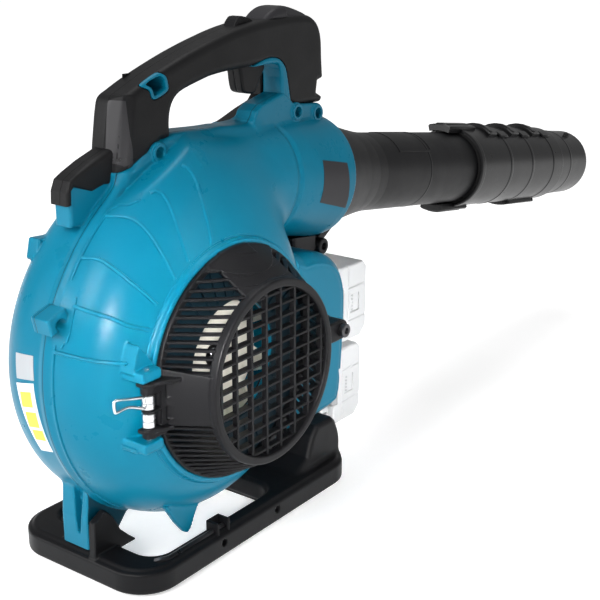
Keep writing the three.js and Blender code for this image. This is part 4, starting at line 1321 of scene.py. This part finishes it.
for middle in (0, 180):
    skin_block(sleeve, 544, 602, middle - 17, middle + 17, 40.2, 47.4, 1.2)
    skin_block(sleeve, 548, 598, middle - 9, middle + 9, 40.2, 48.4, 1.2)
for i in range(3):
    x = 622 + 56 * i
    skin_block(sleeve, x, x + 18, -26, 34, 42.5, 47.2, 1.0, lean=-16)
    skin_block(sleeve, x + 3, x + 9, -30, 30, 42.5, 48.6, 0.8, lean=-16)
    skin_block(sleeve, x + 16, x + 34, 26, 38, 42.5, 46.4, 0.9)
for a0, a1, x0, x1 in ((160, 164, 700, 770), (196, 200, 700, 770),
                       (160, 200, 700, 704), (160, 200, 766, 770)):
    skin_block(sleeve, x0, x1, a0, a1, 42.5, 48.2, 0.8)
skin_block(sleeve, 704, 766, 164, 196, 42.5, 46.0, 0.6)
for a in (24, 204):
    skin_block(sleeve, 836, 842, a, a + 8, 38.5, 44.2, 1.0)
sleeve.put("nozzle_sleeve", SATIN, body="front_nozzle", slot="black_plastic", stands_for=["front_nozzle"])

# ---- base -----------------------------------------------------------------------------------
def rounded_plan(a, b, x0, x1, y0, y1, r):
    """A rectangle with rounded corners."""
    return between(np.abs(a - (x0 + x1) / 2) - (x1 - x0) / 2, b, y0, y1, r)


RISER = [(176, 8), (276, 8), (280.5, 22), (277, 34), (267.5, 55), (262.5, 59.5), (238, 59.5), (231, 52),
         (224, 33), (206, 22.5), (178, 20)]


BRACE = [(2, 18), (3.5, 50), (16, 56.5), (23, 49), (31, 34), (40, 25), (48, 18)]


def base_field(P):
    x, y, z = P.T
    plan = rounded_plan(x, y, 0, 280, -75.8, 75.8, 33)
    hole = rounded_plan(x, y, 29, 177, -57, 57, 16)
    ring = smax(extrude(plan, z - 11, 9, 2.4), -smax(hole, -z - 5, 1), 2.2)
    step = smax(extrude(plan + 4.5, z - 15, 7.5, 2.4), -(hole - 3), 2.2)
    d = smin(ring, step, 3.5)
    d = smin(d, smax(slab(P, RISER, -62, 62, 5), plan + 1, 3), 5)
    d = smin(d, brick(P, 8, 36, -17, 22, 16, 27, 2), 3)
    d = smin(d, slab(P, BRACE, -20.5, -13.5, 1.2), 2)
    saddle = from_axis(P) - spiral_radius(turn_of(P)) - 0.6
    d = smax(d, -smax(saddle, np.abs(y + 4) - 70, 2), 1)
    for cx in (91, 161):
        d = smax(d, -rod_y(P, cx, 13.5, 3.2, -90, -66, 0.4), 0.8)
    d = smax(d, -brick(P, 40, 240, -70, 70, -10, 2.4, 1), 0.8)
    for px, py in ((17, -50), (17, 50), (252, -56), (252, 56)):
        d = smax(d, -rod_z(P, px, py, 9.4, -5, 2.6, 0.3), 0.3)
    return d


mould("base_ring", base_field, (-4, -80, -2), (286, 80, 64), BLACK, step=FINE,
      slot="black_plastic", stands_for=["base_stand"])

feet = Mesh()
for i in range(1, 5):
    lo, hi = design_box(f"base_foot_{i}")
    cx, cy = (lo.x + hi.x) / 2, (lo.y + hi.y) / 2
    feet.lathe([(0, 0), (8.4, 0), (9, 0.6), (9, 2.6), (0, 2.6)], along_z(cx, cy), 40, close=False)
feet.put("base_feet", RUBBER, slot="rubber", stands_for=[f"base_foot_{i}" for i in range(1, 5)])

bend = [(27, -60, 21.5), (29, -63.5, 23), (34, -66.6, 23), (42, -67, 23), (70, -67, 23), (106, -67, 23)]
wrench = Mesh()
wrench.tube(curve(bend, 6), 2.3, 6)
wrench.put("hex_key", STEEL, slot="steel", stands_for=["hex_wrench"])

clips = Mesh()
for x0, x1, y0, y1, top, bevel in ((86, 88.5, -73, -60, 31, 0.7), (99, 101.5, -73, -60, 31, 0.7),
                                   (86.5, 101, -62.5, -60, 31, 0.7), (150, 158, -71.5, -62.5, 21.5, 0.8),
                                   (160.5, 163, -71.5, -62.5, 21.5, 0.8), (30, 34, -71, -58, 21.2, 0.8)):
    clips.box(x0, x1, y0, y1, 18, top, bevel)
clips.put("wrench_clips", BLACK)

# ---- motor cover ------------------------------------------------------------------------------
MOTOR_RIBS = 24
side = Mesh()
profile = [(62, 56), (62, 58.5), (60.8, 60), (60, 74), (58.6, 77), (49, 92), (46.5, 94), (44.5, 94.5),
           (34, 94.5), (33.2, 93.6), (31, 93.6), (30.2, 94.5), (0, 94.5)]
side.lathe(profile, along_y(FAN_X, FAN_Z), 96, close=False)
for i in range(MOTOR_RIBS):
    side.box(50, 60.4, 62, 76, -1.4, 1.4, 0.6, turn=around_fan(2 * pi * i / MOTOR_RIBS))
side.put("motor_side_cover", TEAL_PART, slot="teal_plastic", stands_for=["motor_cover"])

# ---- blank plates and the rear labels ----------------------------------------------------------
corners = [(260, -49.8, 296), (291.5, -53, 289), (292.5, -50.8, 248.3), (255, -50.8, 259.6)]
plate_on(housing_field, "rating_plate", corners, PLATE, cells=(30, 40))
corners = [(-26, 19.5, 190.8), (-26.8, 0, 192.5), (-28.8, -1.4, 174.4), (-28, 18, 171.8)]
plate_on(housing_field, "label_upper", corners, LABEL_GREY, cells=(14, 20))
corners = [(-28, 19, 168), (-29, -0.5, 172), (-19, -5, 115.5), (-17.8, 9, 112.8)]
plate_on(housing_field, "label_lower", corners, LABEL, cells=(16, 50))
for i, (z0, z1) in enumerate(((150, 164), (133, 148), (121, 132.5))):
    far, near = 14.5 - 2.6 * i, 2.5 - 2.6 * i
    corners = [(-28, far, z0), (-28, near, z0 + 2.4), (-29, near + 0.3, z1 + 0.6), (-29, far + 0.3, z1 - 1.8)]
    plate_on(housing_field, f"label_square_{i + 1}", corners, YELLOW, lift=0.55, cells=(10, 10), thick=0.3)

# ---- camera, floor and light --------------------------------------------------------
CAMERA_AT = (-533.3, -611.6, 484.2)  # design mm
CAMERA_PITCH, CAMERA_YAW, CAMERA_ROLL = radians(17.906), radians(36.457), radians(0.141)
FOCAL_LENGTH, SENSOR_WIDTH, CLIP_END = 68.97, 36, 60
FLOOR_HALF, FLOOR_TILES = 20.0, 24  # metres, tiles to a side


def aim():
    """The camera, at the photograph's viewing angle."""
    flat = cos(CAMERA_PITCH)
    ahead = Vector((flat * cos(CAMERA_YAW), flat * sin(CAMERA_YAW), -sin(CAMERA_PITCH)))
    level = Vector((sin(CAMERA_YAW), -cos(CAMERA_YAW), 0))
    upright = level.cross(ahead)
    right = level * cos(CAMERA_ROLL) + upright * sin(CAMERA_ROLL)
    up = upright * cos(CAMERA_ROLL) - level * sin(CAMERA_ROLL)
    camera = bpy.data.cameras.new("camera")
    camera.lens = FOCAL_LENGTH
    camera.sensor_width = SENSOR_WIDTH
    camera.clip_end = CLIP_END
    obj = bpy.data.objects.new("camera", camera)
    place = np.array(CAMERA_AT) * MM + ORIGIN
    obj.matrix_world = Matrix([(right[i], up[i], -ahead[i], place[i]) for i in range(3)] + [(0, 0, 0, 1)])
    bpy.context.scene.collection.objects.link(obj)
    bpy.context.scene.camera = obj


def floor():
    """A plain pale floor that stays light under the object's shadow."""
    material, nodes, links, body, coords = shader("floor")
    tone = noise(nodes, links, coords, 3, 4)
    links.new(stops(nodes, links, tone, [(0.3, 0.86), (0.7, 0.90)]), body.inputs["Base Color"])
    links.new(stops(nodes, links, tone, [(0.3, 0.55), (0.7, 0.7)]), body.inputs["Roughness"])
    body.inputs["Specular IOR Level"].default_value = 0.1
    spread = add_node(nodes, "Mapping", Scale=(0.55, 0.55, 0.55))
    links.new(coords, spread.inputs["Vector"])
    halo = nodes.new("ShaderNodeTexGradient")
    halo.gradient_type = "SPHERICAL"
    links.new(spread.outputs[0], halo.inputs[0])
    glow = stops(nodes, links, halo.outputs[1], [(0.05, 0.72), (0.75, 0.48)])
    links.new(glow, body.inputs["Emission Color"])
    body.inputs["Emission Strength"].default_value = 1.0
    ticks = [FLOOR_HALF * (2 * i / FLOOR_TILES - 1) for i in range(FLOOR_TILES + 1)]
    verts = [(a, b, 0) for a, b in product(ticks, ticks)]
    mesh = bpy.data.meshes.new("floor")
    mesh.from_pydata(verts, [], grid_quads(len(ticks), len(ticks)))
    mesh.materials.append(material)
    obj = bpy.data.objects.new("floor", mesh)
    bpy.context.scene.collection.objects.link(obj)


def lamp(name, place, target, size, power, spread=180):
    """A rectangular area light at one place, in metres, facing another; power in watts."""
    light = bpy.data.lights.new(name, "AREA")
    light.shape = "RECTANGLE"
    light.size, light.size_y = size
    light.energy = power
    light.spread = radians(spread)
    obj = bpy.data.objects.new(name, light)
    obj.location = place
    obj.rotation_euler = (Vector(target) - Vector(place)).to_track_quat("-Z", "Y").to_euler()
    bpy.context.scene.collection.objects.link(obj)


def sky():
    """Even white light from all round."""
    world = bpy.data.worlds.new("studio")
    bpy.context.scene.world = world
    world.use_nodes = True
    world.node_tree.nodes["Background"].inputs[0].default_value = (1, 1, 1, 1)
    world.node_tree.nodes["Background"].inputs[1].default_value = 0.36


aim()
floor()
sky()
lamp("key", (-2.0, -0.1, 1.5), (0, 0, 0.2), (0.8, 0.8), 30)
lamp("side", (0.8, -2.0, 1.1), (0, 0, 0.2), (0.5, 1.3), 6)
lamp("top", (0.2, 0.4, 2.3), (0, 0, 0.2), (1.2, 0.6), 14)
lamp("rim", (-2.2, 1.1, 0.9), (-0.4, 0, 0.2), (0.7, 0.7), 22)
lamp("inlet", (-1.03, -0.68, 0.53), (-0.31, -0.06, 0.164), (0.15, 0.15), 0.32, spread=18)
scene = bpy.context.scene
scene.view_settings.view_transform = "Standard"
scene.view_settings.look = "None"
